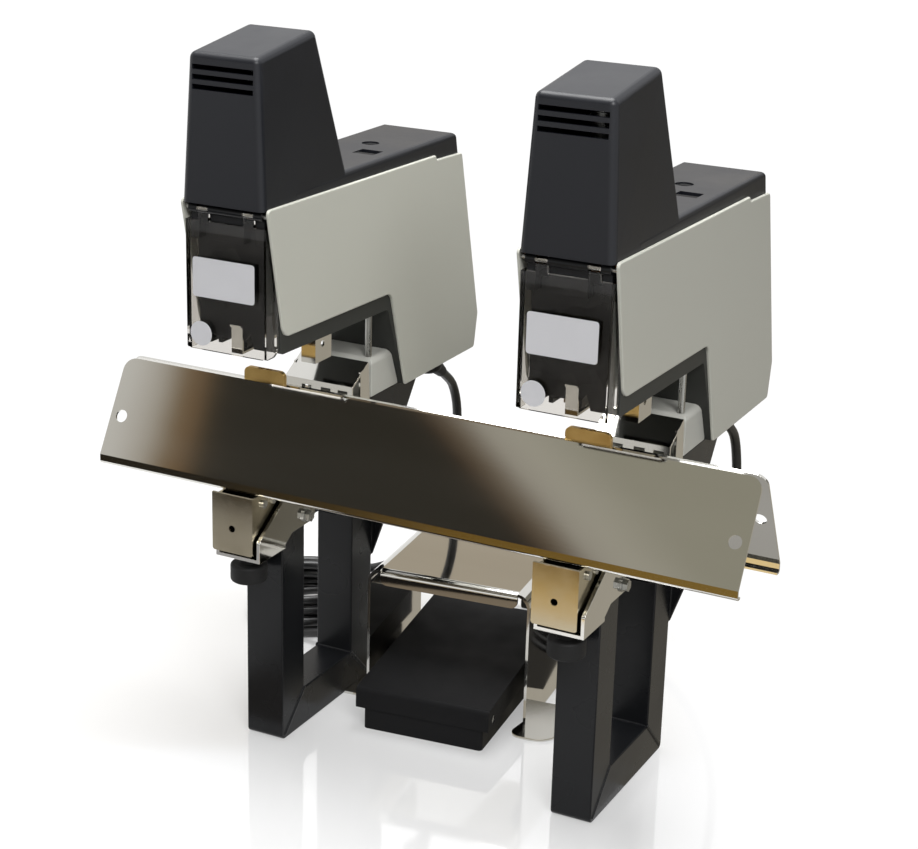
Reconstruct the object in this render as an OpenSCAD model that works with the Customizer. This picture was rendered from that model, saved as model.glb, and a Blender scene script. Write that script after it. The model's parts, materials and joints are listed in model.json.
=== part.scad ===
// Twin-head electric saddle stapler on two tube legs, with a hooded foot pedal.
// X runs along the saddle, Y from the front to the back, Z up from the floor.

/* [Stand] */
// Distance between the two stapling heads
head_spacing = 244; // [225:1:280]
// Outside width of the square leg tube
tube_w = 30; // [26:1:32]
// Wall of the leg tube
tube_wall = 2; // [1.5:0.1:3]
// Length of a leg frame from front to back
leg_span = 129; // [120:1:140]
// Height of a leg frame
leg_h = 160; // [145:1:180]
// How far the legs stand in front of the saddle ridge
leg_lead = 7; // [3:1:8]
// Height of the lower arm above the legs
arm_rise = 76; // [72:1:84]
// Diameter of the rubber feet under the base channels
foot_d = 26; // [20:1:30]
// Height of the rubber feet
foot_h = 20; // [14:1:26]

/* [Saddle] */
// Length of the saddle
saddle_len = 478; // [420:1:560]
// Height of the ridge above the lower arm
ridge_rise = 34; // [30:1:40]
// Slope of the saddle plates from the floor plane
saddle_angle = 61; // [57:0.5:64]
// Height of the sloped part of a saddle plate
saddle_drop = 63; // [56:1:66]
// Thickness of the saddle sheet
saddle_t = 1.5; // [1:0.1:2]
// Gap between the two plates along the ridge
ridge_gap = 7; // [6:0.1:9]
// Height of the upright strip under the slope
lip_h = 7; // [5:0.5:9]
// Depth of the returned lip
lip_return = 5; // [3:0.5:6]
// How much deeper the rear plate reaches than the front one
rear_extra = 11; // [0:1:12]
// Diameter of the hole near each end of a plate
saddle_hole_d = 9; // [5:0.5:11]
// Distance of that hole from the ridge, down the slope
saddle_hole_drop = 42.5; // [30:0.5:48]
// Distance of that hole from the end
saddle_hole_inset = 9; // [8:0.5:20]
// Height of the anvil tab above the ridge
anvil_rise = 9; // [6:0.5:12]
// Width of the anvil tab
anvil_w = 32; // [26:1:32]

/* [Head] */
// Outside width of a stapler unit
body_w = 68; // [66:1:76]
// Thickness of the side panels
panel_t = 2; // [1.2:0.1:2.4]
// Open height from the anvil to the panels
throat_gap = 37; // [34:1:42]
// Depth of the throat behind the ridge
throat_depth = 113; // [110:1:130]
// Depth of the column behind the throat
column_depth = 143; // [130:1:160]
// Height of the side panel at the front
panel_h = 90; // [88:1:96]
// How far the panels reach in front of the ridge
head_front = 55; // [53:0.5:56]
// Height of the cover's tower above the panels
tower_h = 97; // [95:1:110]
// Wall of the moulded cover
cover_wall = 2.5; // [2:0.1:3]
// Offset of the staple lane from the middle of a unit
lane_x = -3; // [-3:0.5:0]

/* [Stapling] */
// Travel of the driver
driver_stroke = 25.5; // [20:0.5:26]
// Travel of the magazine that follows the driver
magazine_stroke = 20; // [14:0.5:20]
// Width of the driver blade
blade_w = 12.4; // [10:0.1:13]
// Thickness of the driver blade
blade_t = 1.4; // [0.8:0.1:1.8]
// Diameter of the solenoid plunger
plunger_d = 16; // [12:0.5:17]

/* [Finger guard] */
// Thickness of the clear guard
guard_t = 2.5; // [2:0.1:3]
// Depth of the guard's side walls
guard_depth = 15; // [13:1:18]
// Diameter of the hinge rod
hinge_rod_d = 3; // [2.5:0.1:3.4]

/* [Pedal] */
// Width of the treadle
treadle_w = 104; // [98:1:106]
// Length of the treadle
treadle_len = 158; // [150:1:162]
// Rise of the treadle from front to back, in degrees
treadle_angle = 4.5; // [4:0.5:6]
// Width of the hood over the pedal
hood_w = 128; // [124:1:132]
// Height of the hood
hood_h = 107; // [96:1:112]
// Depth of the hood from front to back
hood_depth = 104; // [96:1:110]
// Sheet of the hood
hood_t = 2; // [1.2:0.1:2.4]
// Turn of the pedal on the floor, in degrees
pedal_turn = 6; // [0:1:7]

/* [Cords] */
// Diameter of the mains cords
cord_d = 7.5; // [6.5:0.1:7.6]

/* [Hidden] */
$fn = 48;

// Colours
black_paint = "#202224";
black_plastic = "#35363a";
grey_paint = "#b4b4ab";
bright_chrome = "#c9c7bf";
plain_steel = "#9a9a98";
gold_steel = "#b59a62";
clear_acrylic = [0.85, 0.88, 0.9, 0.4];
copper_wire = "#9a5a34";
soft_rubber = "#1a1a1b";

// Fits
clear = 0.3;
running = 0.05;
cut = 1;

// Heights of the chain from the floor to the tower
shelf_h = leg_h + arm_rise;
ridge_h = shelf_h + ridge_rise;
anvil_top = ridge_h + anvil_rise;
head_low_h = anvil_top + throat_gap;
head_top_h = head_low_h + panel_h;

// Depths measured from the ridge
body_rear = throat_depth + column_depth;
tower_proud = 2;
tower_front = head_front + tower_proud;
relief_proud = 8;
part_rear = body_rear + relief_proud;
mid_y = (part_rear - tower_front) / 2;
head_x = head_spacing / 2;

// Plan of the legs
leg_front_y = -leg_lead;
leg_rear_y = leg_front_y + leg_span;
leg_inner_front = leg_front_y + tube_w;
leg_inner_rear = leg_rear_y - tube_w;
leg_corner_r = 4;

// Base channel on the leg, with the carrier between its flanges
channel_t = 2.5;
channel_half = tube_w / 2 + clear + channel_t;
carrier_t = 2;
carrier_play = 0.7;
carrier_half = tube_w / 2 - carrier_play;
carrier_x = carrier_half - tube_w / 2;
tongue_half = carrier_half - carrier_t - clear;
channel_overlap = 8;
channel_low = leg_h - channel_overlap;
carrier_overlap = 3;
carrier_low = leg_h - carrier_overlap;
anvil_half = anvil_w / 2;
bolt_y = 20;
bolt_rise = 8;
bolt_h = leg_h + bolt_rise;
bolt_d = 5;

// Saddle section
saddle_foot_y = ridge_gap / 2 + saddle_drop / tan(saddle_angle);
saddle_foot_h = ridge_h - saddle_drop;
saddle_low = saddle_foot_h - lip_h;
saddle_corner_r = 9;
roof_drop = 18;
roof_h = ridge_h - roof_drop;

// Lower arm and column
arm_setback = 24;
arm_front_y = saddle_foot_y + arm_setback;
arm_half = 27;
tongue_rise = 27;
arm_tongue_top = leg_h + tongue_rise;
column_lean = 24;
column_foot_y = throat_depth + column_lean;
arm_overhang = 33;
arm_back_y = column_foot_y + arm_overhang;
panel_low_front = 35;
throat_fall = 4;
kink_rise = 27;
kink_h = shelf_h + kink_rise;
rear_lean = 35;
rear_top_y = body_rear - rear_lean;
notch_run = 78;
notch_y = body_rear - notch_run;
top_fall = 4;
notch_step = 3.5;
rear_fall = 9;
heel_step = 5;

// Chassis inside the panels
chassis_half = body_w / 2 - panel_t;
chassis_wall = 2;
hinge_y = -50.5;
guard_rear = hinge_y + guard_depth - guard_t;
guard_gap = 1;
chassis_front = -guard_rear - guard_gap;
skirt = 12;
deck_depth = 14;
chassis_top = head_top_h - deck_depth;
column_proud = -1;
bridge_t = 4;
bridge_front = 24;
bridge_top = chassis_top;
skirt_low = head_low_h - skirt;

// Arm cover and rear guide
arm_cover_run = 40;
cover_front_y = column_foot_y - arm_cover_run;
arm_cover_h = 29;
cover_top = shelf_h + arm_cover_h;
arm_cover_r = 5;
guide_run = 30;
guide_front_y = cover_front_y - guide_run;
guide_half = 28;
guide_bar_h = 16;
guide_slope_h = 13;
guide_t = 1.5;
rod_d = 5;
rod_x = 21;
rod_setback = 10.5;
rod_y = throat_depth - rod_setback;

// Stapling mechanism
nose_proud = 1;
nose_low = skirt_low - nose_proud;
magazine_wall = 1.5;
magazine_half = blade_w / 2 + clear + magazine_wall;
magazine_h = 14;
magazine_front = -24;
magazine_rear = 76;
guide_rise = 46;
bracket_left = 9;
bracket_right = 20.5;
bracket_front = 33;
bracket_rear = 55;
bracket_h = 26;
bracket_low = nose_low - bracket_h;
bracket_hole_d = 5;
bracket_hole_y = 43;
bracket_hole_rise = 12.5;
catch_left = 2;
catch_right = 10.6;
catch_front = -44.5;
catch_h = 20;
catch_lip = 2;
pusher_len = 18;
pusher_h = 9;
pusher_y = 52;
push_rod_d = 8;
blade_set = 3;
blade_low = nose_low + blade_set;
yoke_low = bridge_top;
yoke_h = 56;
yoke_plate = 4;
yoke_wrap = 14;
yoke_half = plunger_d / 2 + yoke_wrap;
winding_t = 9.5;
coil_r = plunger_d / 2 + winding_t;
spring_h = 40;
spring_wire = 1.6;
spring_turns = 6;
wire_sides = 6;
cap_h = 4;
cap_lip = 4;
cap_r = plunger_d / 2 + cap_lip;
spring_play = 2;
spring_r = plunger_d / 2 + spring_play;

// Head housing and guard
housing_front = 42;
housing_t = 3;
guard_half = chassis_half - guard_gap;
guard_inner = guard_half - guard_t;
housing_half = guard_inner - guard_gap;
hinge_drop = 5.5;
hinge_h = head_top_h - hinge_drop;
knuckle_wall = 2;
knuckle_r = hinge_rod_d / 2 + knuckle_wall;
guard_low = skirt_low;
guard_knuckle = [13.5, 21.5];
fixed_knuckles = [
  [-guard_knuckle[0] + clear, guard_knuckle[0] - clear],
  [guard_knuckle[1] + clear, guard_inner - clear],
  [-guard_inner + clear, -guard_knuckle[1] - clear]];

// Top cover
deck_rise = 7;
deck_top = head_top_h + deck_rise;
cover_play = 0.5;
cover_half = chassis_half - cover_play;
tower_sink = 1.5;
tower_low = head_top_h - tower_sink;
tower_r = 5;
tower_taper = 4.6;
tower_top_half = cover_half - tower_taper;
tower_lean = 2.5;
tower_top_front = tower_front - tower_lean;
tower_top_rear = 19;
tower_foot_rear = 54;
tower_rise = 9;
vent_h = 3.4;
vent_pitch = 6.4;
vent_half = 23;
vent_drop = 8;
vent_first = head_top_h + tower_h - vent_drop;
deck_low = chassis_top;
deck_set = 8;
deck_front = -bridge_front + deck_set;
deck_gap = 2;
deck_lean = 5;
deck_rear = rear_top_y - deck_lean - deck_gap;
switch_pos = [12, 114];
switch_size = [17, 15];
switch_pin_d = 2.4;
dial_pos = [-2, 143];
dial_d = 12.4;

// Cord gland
gland_inset = 20;
gland_y = body_rear - gland_inset;
gland_r = 12;
gland_h = 22;
relief_tilt = 35;
relief_len = 26;
relief_tip = 0.62 * cord_d;
relief_drop = 14;
relief_way = [0, cos(relief_tilt), -sin(relief_tilt)];
relief_end = [0, part_rear - relief_tip * sin(relief_tilt),
  shelf_h - relief_drop + relief_len * relief_way[2]];
relief_start = relief_end - relief_len * relief_way;

// Cord routes, from the strain relief down to the top of the coil
floor_z = 4.6;
left_drop = [
  relief_end, relief_end + 8 * relief_way, [0, 281.6, 191], [0.5, 289.5, 173], [0.5, 292, 151], [0, 291, 129],
  [-1, 287, 107], [-4, 279, 86], [-10, 268, 66], [-20, 255.5, 50], [-34, 245, 38], [-52, 239, 31.2]];
right_drop = [
  relief_end, relief_end + 8 * relief_way, [0, 281.6, 191], [0, 290.5, 173], [0, 295.5, 149], [-2, 299, 124],
  [-8, 302, 100], [-18, 304, 78], [-31, 305.3, 59], [-46, 305.8, 44.5], [-60, 305.7, 35.5],
  [-69, 305.6, 31.4]];
left_coil = [-85, 193, 6.5];
right_coil = [-93, 262, 6];
coil_layers = 4;
coil_climb = 0.5;
coil_inner = 33;
coil_pitch = cord_d + 1.8;
coil_layer = cord_d + 0.8;
coil_lead = 52;
lead_flat = 14;
coil_steps = 24;
coil_sides = 6;
tube_sides = 8;
plug_len = 34;
plug_half_w = 13.5;
plug_half_h = 10;
pin_len = 19;
pin_d = 4;
pin_gap = 19;

// Pedal, drawn square to the machine and then turned about the middle of its front
pedal_reach = 102;
pedal_x = pedal_reach - head_x;
pedal_front = 43;
base_inset = 2;
base_front = pedal_front + base_inset;
base_h = 16;
treadle_wall = 3;
base_play = 2.5;
base_half = treadle_w / 2 - treadle_wall - base_play;
base_tail = 1.5;
base_rear = pedal_front + treadle_len - treadle_wall - base_tail;
treadle_gap = 1;
treadle_low = base_h + treadle_gap;
treadle_front_top = 33;
treadle_tilt = treadle_len * tan(treadle_angle);
treadle_rear_rise = 8;
pivot_inset = 11;
pivot_y = pedal_front + pivot_inset;
pivot_rise = 6;
pivot_h = treadle_low + pivot_rise;
pivot_d = 6;
hood_setback = 48;
hood_front = pedal_front + hood_setback;
hood_rear = hood_front + hood_depth;
hood_r = 10;
hood_lip = 12;
hood_lip_half = hood_w / 2 - hood_r;
hood_lip_r = 6;
hood_roll = 5;
lug_h = 8;
lug_len = 18;
lug_inset = 12;
lug_rear = hood_rear - lug_inset;
lug_front = lug_rear - lug_len;
hood_screw_d = 5;
hood_screw_y = (lug_front + lug_rear) / 2;
foot_in = 9;
foot_out = 26;
foot_ahead = 16;
foot_len = 60;
foot_r = 16;
spring_reach = 86;
pedal_spring_y = pedal_front + spring_reach;
pedal_spring_r = 8;
pedal_spring_top = treadle_front_top - treadle_wall - clear
  + (pedal_spring_y - pedal_spring_r - spring_wire - pedal_front) * tan(treadle_angle);

function unit(v) = v / norm(v);
function flat(p) = [p[0], p[1]];

// Arc of radius r in the corner a, b, c, kept within its two edges
function corner_arc(a, b, c, r, steps = 6) =
  let (
    u = unit(a - b),
    v = unit(c - b),
    half = acos(u * v) / 2,
    reach = min(r / tan(half), 0.45 * norm(a - b), 0.45 * norm(c - b)),
    radius = reach * tan(half),
    centre = b + unit(u + v) * radius / sin(half),
    p = b + u * reach - centre,
    q = b + v * reach - centre,
    start = atan2(p[1], p[0]),
    turn = atan2(q[1], q[0]) - start,
    sweep = turn > 180 ? turn - 360 : turn < -180 ? turn + 360 : turn)
  [for (i = [0:steps]) centre + radius * [cos(start + sweep * i / steps), sin(start + sweep * i / steps)]];

// Outline whose corners [a, b, r] are rounded
function rounded(path) =
  let (count = len(path))
  [for (i = [0:count - 1])
    let (a = flat(path[(i + count - 1) % count]), b = flat(path[i]), c = flat(path[(i + 1) % count]))
    for (q = path[i][2] > 0 ? corner_arc(a, b, c, path[i][2]) : [b]) q];

// Counter-clockwise outline with every edge moved inwards by d
function inset(path, d) =
  let (count = len(path))
  [for (i = [0:count - 1])
    let (
      a = flat(path[(i + count - 1) % count]),
      b = flat(path[i]),
      c = flat(path[(i + 1) % count]),
      u = unit(b - a),
      v = unit(c - b),
      m = [-u[1] - v[1], u[0] + v[0]],
      q = b + m * (2 * d / (m * m)))
    [q[0], q[1], path[i][2]]];

// Closed tube mesh through a list of points, with frames kept off one reference direction
function ring(p, t, r, sides, ref) =
  let (u = unit(cross(t, ref)), v = cross(u, t))
  [for (k = [0:sides - 1]) p + r * (cos(360 * k / sides) * u + sin(360 * k / sides) * v)];
function tangent(points, i) =
  let (last = len(points) - 1)
  unit(points[min(i + 1, last)] - points[max(i - 1, 0)]);
function tube_points(points, r, sides, ref) =
  [for (i = [0:len(points) - 1]) for (q = ring(points[i], tangent(points, i), r, sides, ref)) q];
function tube_faces(count, sides) = concat(
  [for (i = [0:count - 2], k = [0:sides - 1])
    let (a = i * sides + k, b = i * sides + (k + 1) % sides)
    each [[a, b, b + sides], [a, b + sides, a + sides]]],
  [for (k = [1:sides - 2]) [0, k + 1, k]],
  [for (k = [1:sides - 2]) let (s = (count - 1) * sides) [s, s + k, s + k + 1]]);
module tube(points, r, sides, ref)
  polyhedron(tube_points(points, r, sides, ref), tube_faces(len(points), sides));

// Smooth curve through the route's own points
function spline(p0, p1, p2, p3, t) =
  0.5 * (2 * p1 + (p2 - p0) * t + (2 * p0 - 5 * p1 + 4 * p2 - p3) * t * t
    + (3 * p1 - p0 - 3 * p2 + p3) * t * t * t);
function smooth(points, steps) =
  let (last = len(points) - 1)
  concat(
    [for (i = [0:last - 1], k = [0:steps - 1])
      spline(points[max(i - 1, 0)], points[i], points[i + 1], points[min(i + 2, last)], k / steps)],
    [points[last]]);
function length_of(points, i = 0) =
  i >= len(points) - 1 ? 0 : norm(points[i + 1] - points[i]) + length_of(points, i + 1);

// Coil of four layers, [x, y, turns]: the spiral runs in and out and drops a layer where it reverses
function coil_run(coil) = (coil[2] - coil_climb * (coil_layers - 1)) / coil_layers;
function coil_outer(coil) = coil_inner + coil_pitch * coil_run(coil);
function coil_at(coil, turn) =
  let (
    run = coil_run(coil),
    level = min(floor(turn / (run + coil_climb)), coil_layers - 1),
    along = turn - level * (run + coil_climb),
    spread = min(along, run),
    radius = coil_inner + coil_pitch * (level % 2 == 0 ? run - spread : spread),
    fall = along > run ? (1 - cos(180 * (along - run) / coil_climb)) / 2 : 0)
  [coil[0] - radius * sin(360 * turn), coil[1] + radius * cos(360 * turn),
    floor_z + coil_layer * (coil_layers - 1 - level - fall)];
function coil_start(coil) =
  [coil[0] + cord_d, coil[1] + coil_outer(coil), floor_z + coil_layer * (coil_layers - 1)];
function coil_way(coil) = -cos(360 * coil[2]);
function lead_point(coil, t) =
  let (run = coil_lead - cord_d - lead_flat, rise = plug_half_h - floor_z)
  coil_at(coil, coil[2]) + [coil_way(coil) * (lead_flat + t * run), 0, rise * (1 - cos(180 * t)) / 2];
function coil_end(coil) = lead_point(coil, 1) + [coil_way(coil) * cord_d, 0, 0];
function coil_path(coil) = concat(
  [coil_start(coil)],
  [for (i = [0:coil[2] * coil_steps]) coil_at(coil, i / coil_steps)],
  [for (t = [0:0.25:1]) lead_point(coil, t)],
  [coil_end(coil)]);
function cord_path(drop, coil) =
  let (lead = coil_start(coil))
  smooth(concat(drop, [lead + [cord_d, 0, 0], lead]), 3);

// Least gap of the coil to itself, taken between points more than a half turn apart
function coil_gap(coil) =
  let (p = coil_path(coil), last = len(p) - 1)
  min([for (i = [0:last], j = [i + 13:1:last]) norm(p[i] - p[j])]) - cord_d;

// Helix of a compression spring standing on z = 0
function helix(r, h, wire, turns, steps = 8) =
  [for (i = [0:turns * steps])
    let (a = 360 * i / steps)
    [r * cos(a), r * sin(a), wire / 2 + 0.05 + (h - wire - 0.1) * i / (turns * steps)]];

module at_head(side) translate([side * head_x, -mid_y, 0]) children();
module in_place() translate([0, -mid_y, 0]) children();
module side_slab(x0, x1) translate([x0, 0, 0]) rotate([90, 0, 90]) linear_extrude(x1 - x0) children();
module front_slab(y0, y1) translate([0, y1, 0]) rotate([90, 0, 0]) linear_extrude(y1 - y0) children();
module block(low, high) translate(low) cube(high - low);
module cross_pin(d, x0, x1, y, z) translate([x0, y, z]) rotate([0, 90, 0]) cylinder(d = d, h = x1 - x0);

// Side outline of a leg frame, an open-topped U
module leg_outline(d) polygon(rounded([
  [leg_front_y + d, leg_h, 0], [leg_front_y + d, d, leg_corner_r], [leg_rear_y - d, d, leg_corner_r],
  [leg_rear_y - d, leg_h, 0], [leg_inner_rear + d, leg_h, 0], [leg_inner_rear + d, tube_w - d, 0],
  [leg_inner_front - d, tube_w - d, 0], [leg_inner_front - d, leg_h, 0]]));

gusset_t = 3;
gusset_h = 60;
gusset_low = leg_h - gusset_h;
gusset_flare_h = 25;
gusset_flare = leg_h - gusset_flare_h;
module leg_frame() color(black_paint) {
  difference() {
    side_slab(-tube_w / 2, tube_w / 2) leg_outline(0);
    side_slab(-tube_w / 2 + tube_wall, tube_w / 2 - tube_wall) leg_outline(tube_wall);
  }
  front_slab(leg_rear_y, leg_rear_y + gusset_t) polygon([
    [-tube_w / 2, gusset_low], [tube_w / 2, gusset_low], [arm_half, gusset_flare], [arm_half, leg_h],
    [-arm_half, leg_h], [-arm_half, gusset_flare]]);
}

// Flange of the base channel, with its slanted front edge and stepped lower edge
channel_front = -41.5;
channel_tail = 13;
channel_rear = bolt_y + channel_tail;
module channel_flange() polygon(rounded([
  [channel_front, channel_low, 0], [leg_front_y - 5, channel_low, 4], [leg_front_y + 9, leg_h + 1, 4],
  [channel_rear, leg_h + 1, 6], [channel_rear, bolt_h + 10, 8], [bolt_y, bolt_h + 21, 5],
  [-8, bolt_h + 21, 4], [channel_front, channel_low + 16, 3]]));
module base_channel() color(bright_chrome) difference() {
  union() {
    for (side = [0, 1]) mirror([side, 0, 0])
      side_slab(channel_half - channel_t, channel_half) channel_flange();
    block([-channel_half, channel_front, channel_low],
      [channel_half, leg_front_y - clear, channel_low + channel_t]);
  }
  cross_pin(bolt_d + 2 * running, -channel_half - cut, channel_half + cut, bolt_y, bolt_h);
}

// Flange of the saddle carrier: an upright front under a roof that follows the saddle
carrier_gap = 0.5;
carrier_front = channel_front - carrier_t - carrier_gap;
function roof_y(z) =
  ridge_gap / 2 + (ridge_h - z) / tan(saddle_angle) - (saddle_t + clear) / sin(saddle_angle);
module carrier_flange() polygon(rounded([
  [carrier_front, carrier_low, 3], [leg_front_y - 6, carrier_low, 2], [leg_front_y - 0.5, leg_h + clear, 2],
  [bolt_y + 10, leg_h + 1, 6],
  [bolt_y + 10, saddle_low - 3, 3], [roof_y(saddle_foot_h) - lip_return - 1, saddle_low - 1, 0],
  [roof_y(saddle_foot_h) - lip_return - 1, saddle_foot_h + 10, 0],
  [roof_y(roof_h), roof_h, 0], [-roof_y(roof_h), roof_h, 0],
  [-roof_y(saddle_foot_h) + lip_return + 1, saddle_foot_h + 10, 0],
  [-roof_y(saddle_foot_h) + lip_return + 1, saddle_low - clear, 0], [carrier_front, saddle_low - clear, 0]]));
carrier_hole_d = 5;
carrier_hole_rise = 18;
carrier_hole_h = carrier_low + carrier_hole_rise;
module saddle_carrier() color(gold_steel) difference() {
  union() {
    translate([carrier_x, 0, 0]) for (side = [0, 1]) mirror([side, 0, 0])
      side_slab(carrier_half - carrier_t, carrier_half) carrier_flange();
    front_slab(carrier_front, carrier_front + carrier_t) polygon(rounded([
      [lane_x - anvil_half, carrier_low, 2], [carrier_x + carrier_half, carrier_low, 2],
      [carrier_x + carrier_half, saddle_low - clear, 0], [lane_x - anvil_half, saddle_low - clear, 0]]));
  }
  cross_pin(bolt_d + 2 * running, -tube_w, tube_w, bolt_y, bolt_h);
  translate([lane_x, carrier_front - cut, carrier_hole_h]) rotate([-90, 0, 0])
    cylinder(d = carrier_hole_d, h = carrier_t + 2 * cut);
}

// Clincher tab standing in the ridge, with two pockets that fold the staple legs
pocket_r = 3;
anvil_half_t = ridge_gap / 2 - saddle_t * sin(saddle_angle) - clear;
module anvil() color(gold_steel) translate([lane_x, 0, 0]) difference() {
  front_slab(-anvil_half_t, anvil_half_t) polygon(rounded([
    [-anvil_half, roof_h, 0], [anvil_half, roof_h, 0],
    [anvil_half, anvil_top, 4], [-anvil_half, anvil_top, 4]]));
  for (side = [-1, 1]) translate([side * blade_w / 4, -blade_t, anvil_top + pocket_r - 1])
    rotate([-90, 0, 0]) cylinder(r = pocket_r, h = 2 * blade_t);
}

module saddle_plate(drop) {
  foot_y = ridge_gap / 2 + drop / tan(saddle_angle);
  foot_h = ridge_h - drop;
  low = foot_h - lip_h;
  slope_len = drop / sin(saddle_angle);
  difference() {
    union() {
      translate([0, -foot_y, foot_h]) rotate([saddle_angle, 0, 0]) translate([0, 0, -saddle_t])
        linear_extrude(saddle_t) polygon(rounded([
          [-saddle_len / 2, 0, 0], [saddle_len / 2, 0, 0],
          [saddle_len / 2, slope_len, saddle_corner_r], [-saddle_len / 2, slope_len, saddle_corner_r]]));
      side_slab(-saddle_len / 2, saddle_len / 2) polygon([
        [-foot_y, foot_h], [-foot_y, low], [-foot_y + lip_return, low],
        [-foot_y + lip_return, low + saddle_t],
        [-foot_y + saddle_t, low + saddle_t],
        [-foot_y + saddle_t, foot_h - saddle_t * (1 - sin(saddle_angle)) / cos(saddle_angle)],
        [-foot_y + saddle_t * sin(saddle_angle), foot_h - saddle_t * cos(saddle_angle)]]);
    }
    for (end = [-1, 1])
      translate([end * (saddle_len / 2 - saddle_hole_inset), -foot_y, foot_h])
        rotate([saddle_angle, 0, 0]) translate([0, slope_len - saddle_hole_drop, -saddle_t - cut])
          cylinder(d = saddle_hole_d, h = saddle_t + 2 * cut);
  }
}
module saddle_front_plate() color(bright_chrome) in_place() saddle_plate(saddle_drop);
module saddle_rear_plate() color(bright_chrome) in_place()
  mirror([0, 1, 0]) saddle_plate(saddle_drop + rear_extra);

// Cast lower arm: a tongue inside the carrier, a shelf for the guide and a neck under the column
module lower_arm() color(black_paint) difference() {
  union() {
    side_slab(carrier_x - tongue_half, carrier_x + tongue_half) polygon(rounded([
      [leg_front_y, leg_h, 0], [arm_front_y, leg_h, 0], [arm_front_y, arm_tongue_top + 3, 0],
      [saddle_foot_y + 3, arm_tongue_top, 4], [leg_front_y, arm_tongue_top, 4]]));
    side_slab(-arm_half, arm_half) polygon(rounded([
      [channel_rear + 15, leg_h, 0], [leg_rear_y + gusset_t, leg_h, 0], [leg_rear_y + gusset_t, leg_h + 8, 6],
      [arm_back_y - 18, shelf_h - 24, 12], [arm_back_y, shelf_h, 0], [arm_front_y, shelf_h, 4],
      [channel_rear + 15, arm_tongue_top, 4]]));
  }
  cross_pin(bolt_d + 2 * running, -tube_w, tube_w, bolt_y, bolt_h);
}

// Outline of a side panel, counter-clockwise from its lower front corner
panel_path = [
  [-panel_low_front, head_low_h, 9], [throat_depth, head_low_h - throat_fall, 9],
  [column_foot_y, shelf_h, 2], [body_rear - heel_step, shelf_h, 3], [body_rear, kink_h, 2],
  [rear_top_y, head_top_h - rear_fall, 4], [notch_y + 2, head_top_h - top_fall - notch_step, 0],
  [notch_y, head_top_h - top_fall, 1], [-head_front, head_top_h, 3]];
module side_panel(side) color(grey_paint)
  side_slab(side > 0 ? chassis_half : -body_w / 2, side > 0 ? body_w / 2 : -chassis_half)
    polygon(rounded(panel_path));

// Chassis outline: the skirt shows under the panels and the column front stands proud in the throat
chassis_path = [
  [-chassis_front, skirt_low, 4], [throat_depth - column_proud - 3, skirt_low - throat_fall, 3],
  [column_foot_y - column_proud, shelf_h, 0], [body_rear - heel_step - 2, shelf_h, 0],
  [body_rear - 2, kink_h, 0], [rear_top_y + 1, chassis_top, 0], [-chassis_front, chassis_top, 0]];
function column_front(z) =
  let (top = chassis_path[1], foot = chassis_path[2])
  foot[0] + (top[0] - foot[0]) * (z - foot[1]) / (top[1] - foot[1]);
well_half = bracket_right - lane_x + clear + 0.2;
module body_frame() color(black_paint) {
  difference() {
    side_slab(-chassis_half, chassis_half) polygon(rounded(chassis_path));
    side_slab(-chassis_half + chassis_wall, chassis_half - chassis_wall)
      polygon(rounded(inset(chassis_path, chassis_wall)));
    block([-chassis_half + chassis_wall, -chassis_front - cut, skirt_low + 5],
      [chassis_half - chassis_wall, -chassis_front + 8, chassis_top + cut]);
    block([-chassis_half + chassis_wall, -chassis_front + 6, chassis_top - 8],
      [chassis_half - chassis_wall, rear_top_y - 8, chassis_top + cut]);
    block([-well_half, -chassis_front - cut, skirt_low - 2 * skirt],
      [well_half, bracket_rear + 24, skirt_low + 6]);
    translate([0, gland_y, shelf_h - cut]) cylinder(d = cord_d + 2, h = chassis_wall + 2 * cut);
  }
  difference() {
    block([-chassis_half + chassis_wall, -bridge_front, bridge_top - bridge_t],
      [chassis_half - chassis_wall, yoke_half + 8, bridge_top]);
    translate([lane_x, 0, bridge_top - bridge_t - cut]) cylinder(d = push_rod_d + 2, h = bridge_t + 2 * cut);
  }
}

// Moulded cover: a tapered tower with louvres over a low flat deck
module tower_form(d) {
  top_front = head_top_h + tower_h;
  hull() {
    for (x = [-1, 1], y = [-tower_front + tower_r, tower_foot_rear - tower_r])
      translate([x * (cover_half - tower_r), y, tower_low - (d > 0 ? cut : 0)])
        cylinder(r = tower_r - d, h = 2, $fn = 24);
    for (x = [-1, 1]) {
      translate([x * (tower_top_half - tower_r), -tower_top_front + tower_r, top_front - tower_r])
        sphere(r = tower_r - d, $fn = 24);
      translate([x * (tower_top_half - tower_r), tower_top_rear - tower_r, top_front + tower_rise - tower_r])
        sphere(r = tower_r - d, $fn = 24);
    }
  }
}
module deck_form(d) intersection() {
  side_slab(-cover_half + d, cover_half - d) polygon(rounded([
    [deck_front - (d > 0 ? cut : 0), deck_low - (d > 0 ? cut : 0), 0],
    [deck_rear + deck_lean - d, deck_low - (d > 0 ? cut : 0), 0],
    [deck_rear - d, deck_top - d, 4], [deck_front - (d > 0 ? cut : 0), deck_top - d, 0]]));
  front_slab(-tower_front, deck_rear + deck_lean) polygon(rounded([
    [-cover_half + d, deck_low - 2, 0], [cover_half - d, deck_low - 2, 0],
    [cover_half - d, deck_top - d, 4], [-cover_half + d, deck_top - d, 4]]));
}
switch_well = 9;
switch_wall = 2;
switch_low = switch_pos - switch_size / 2;
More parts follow.
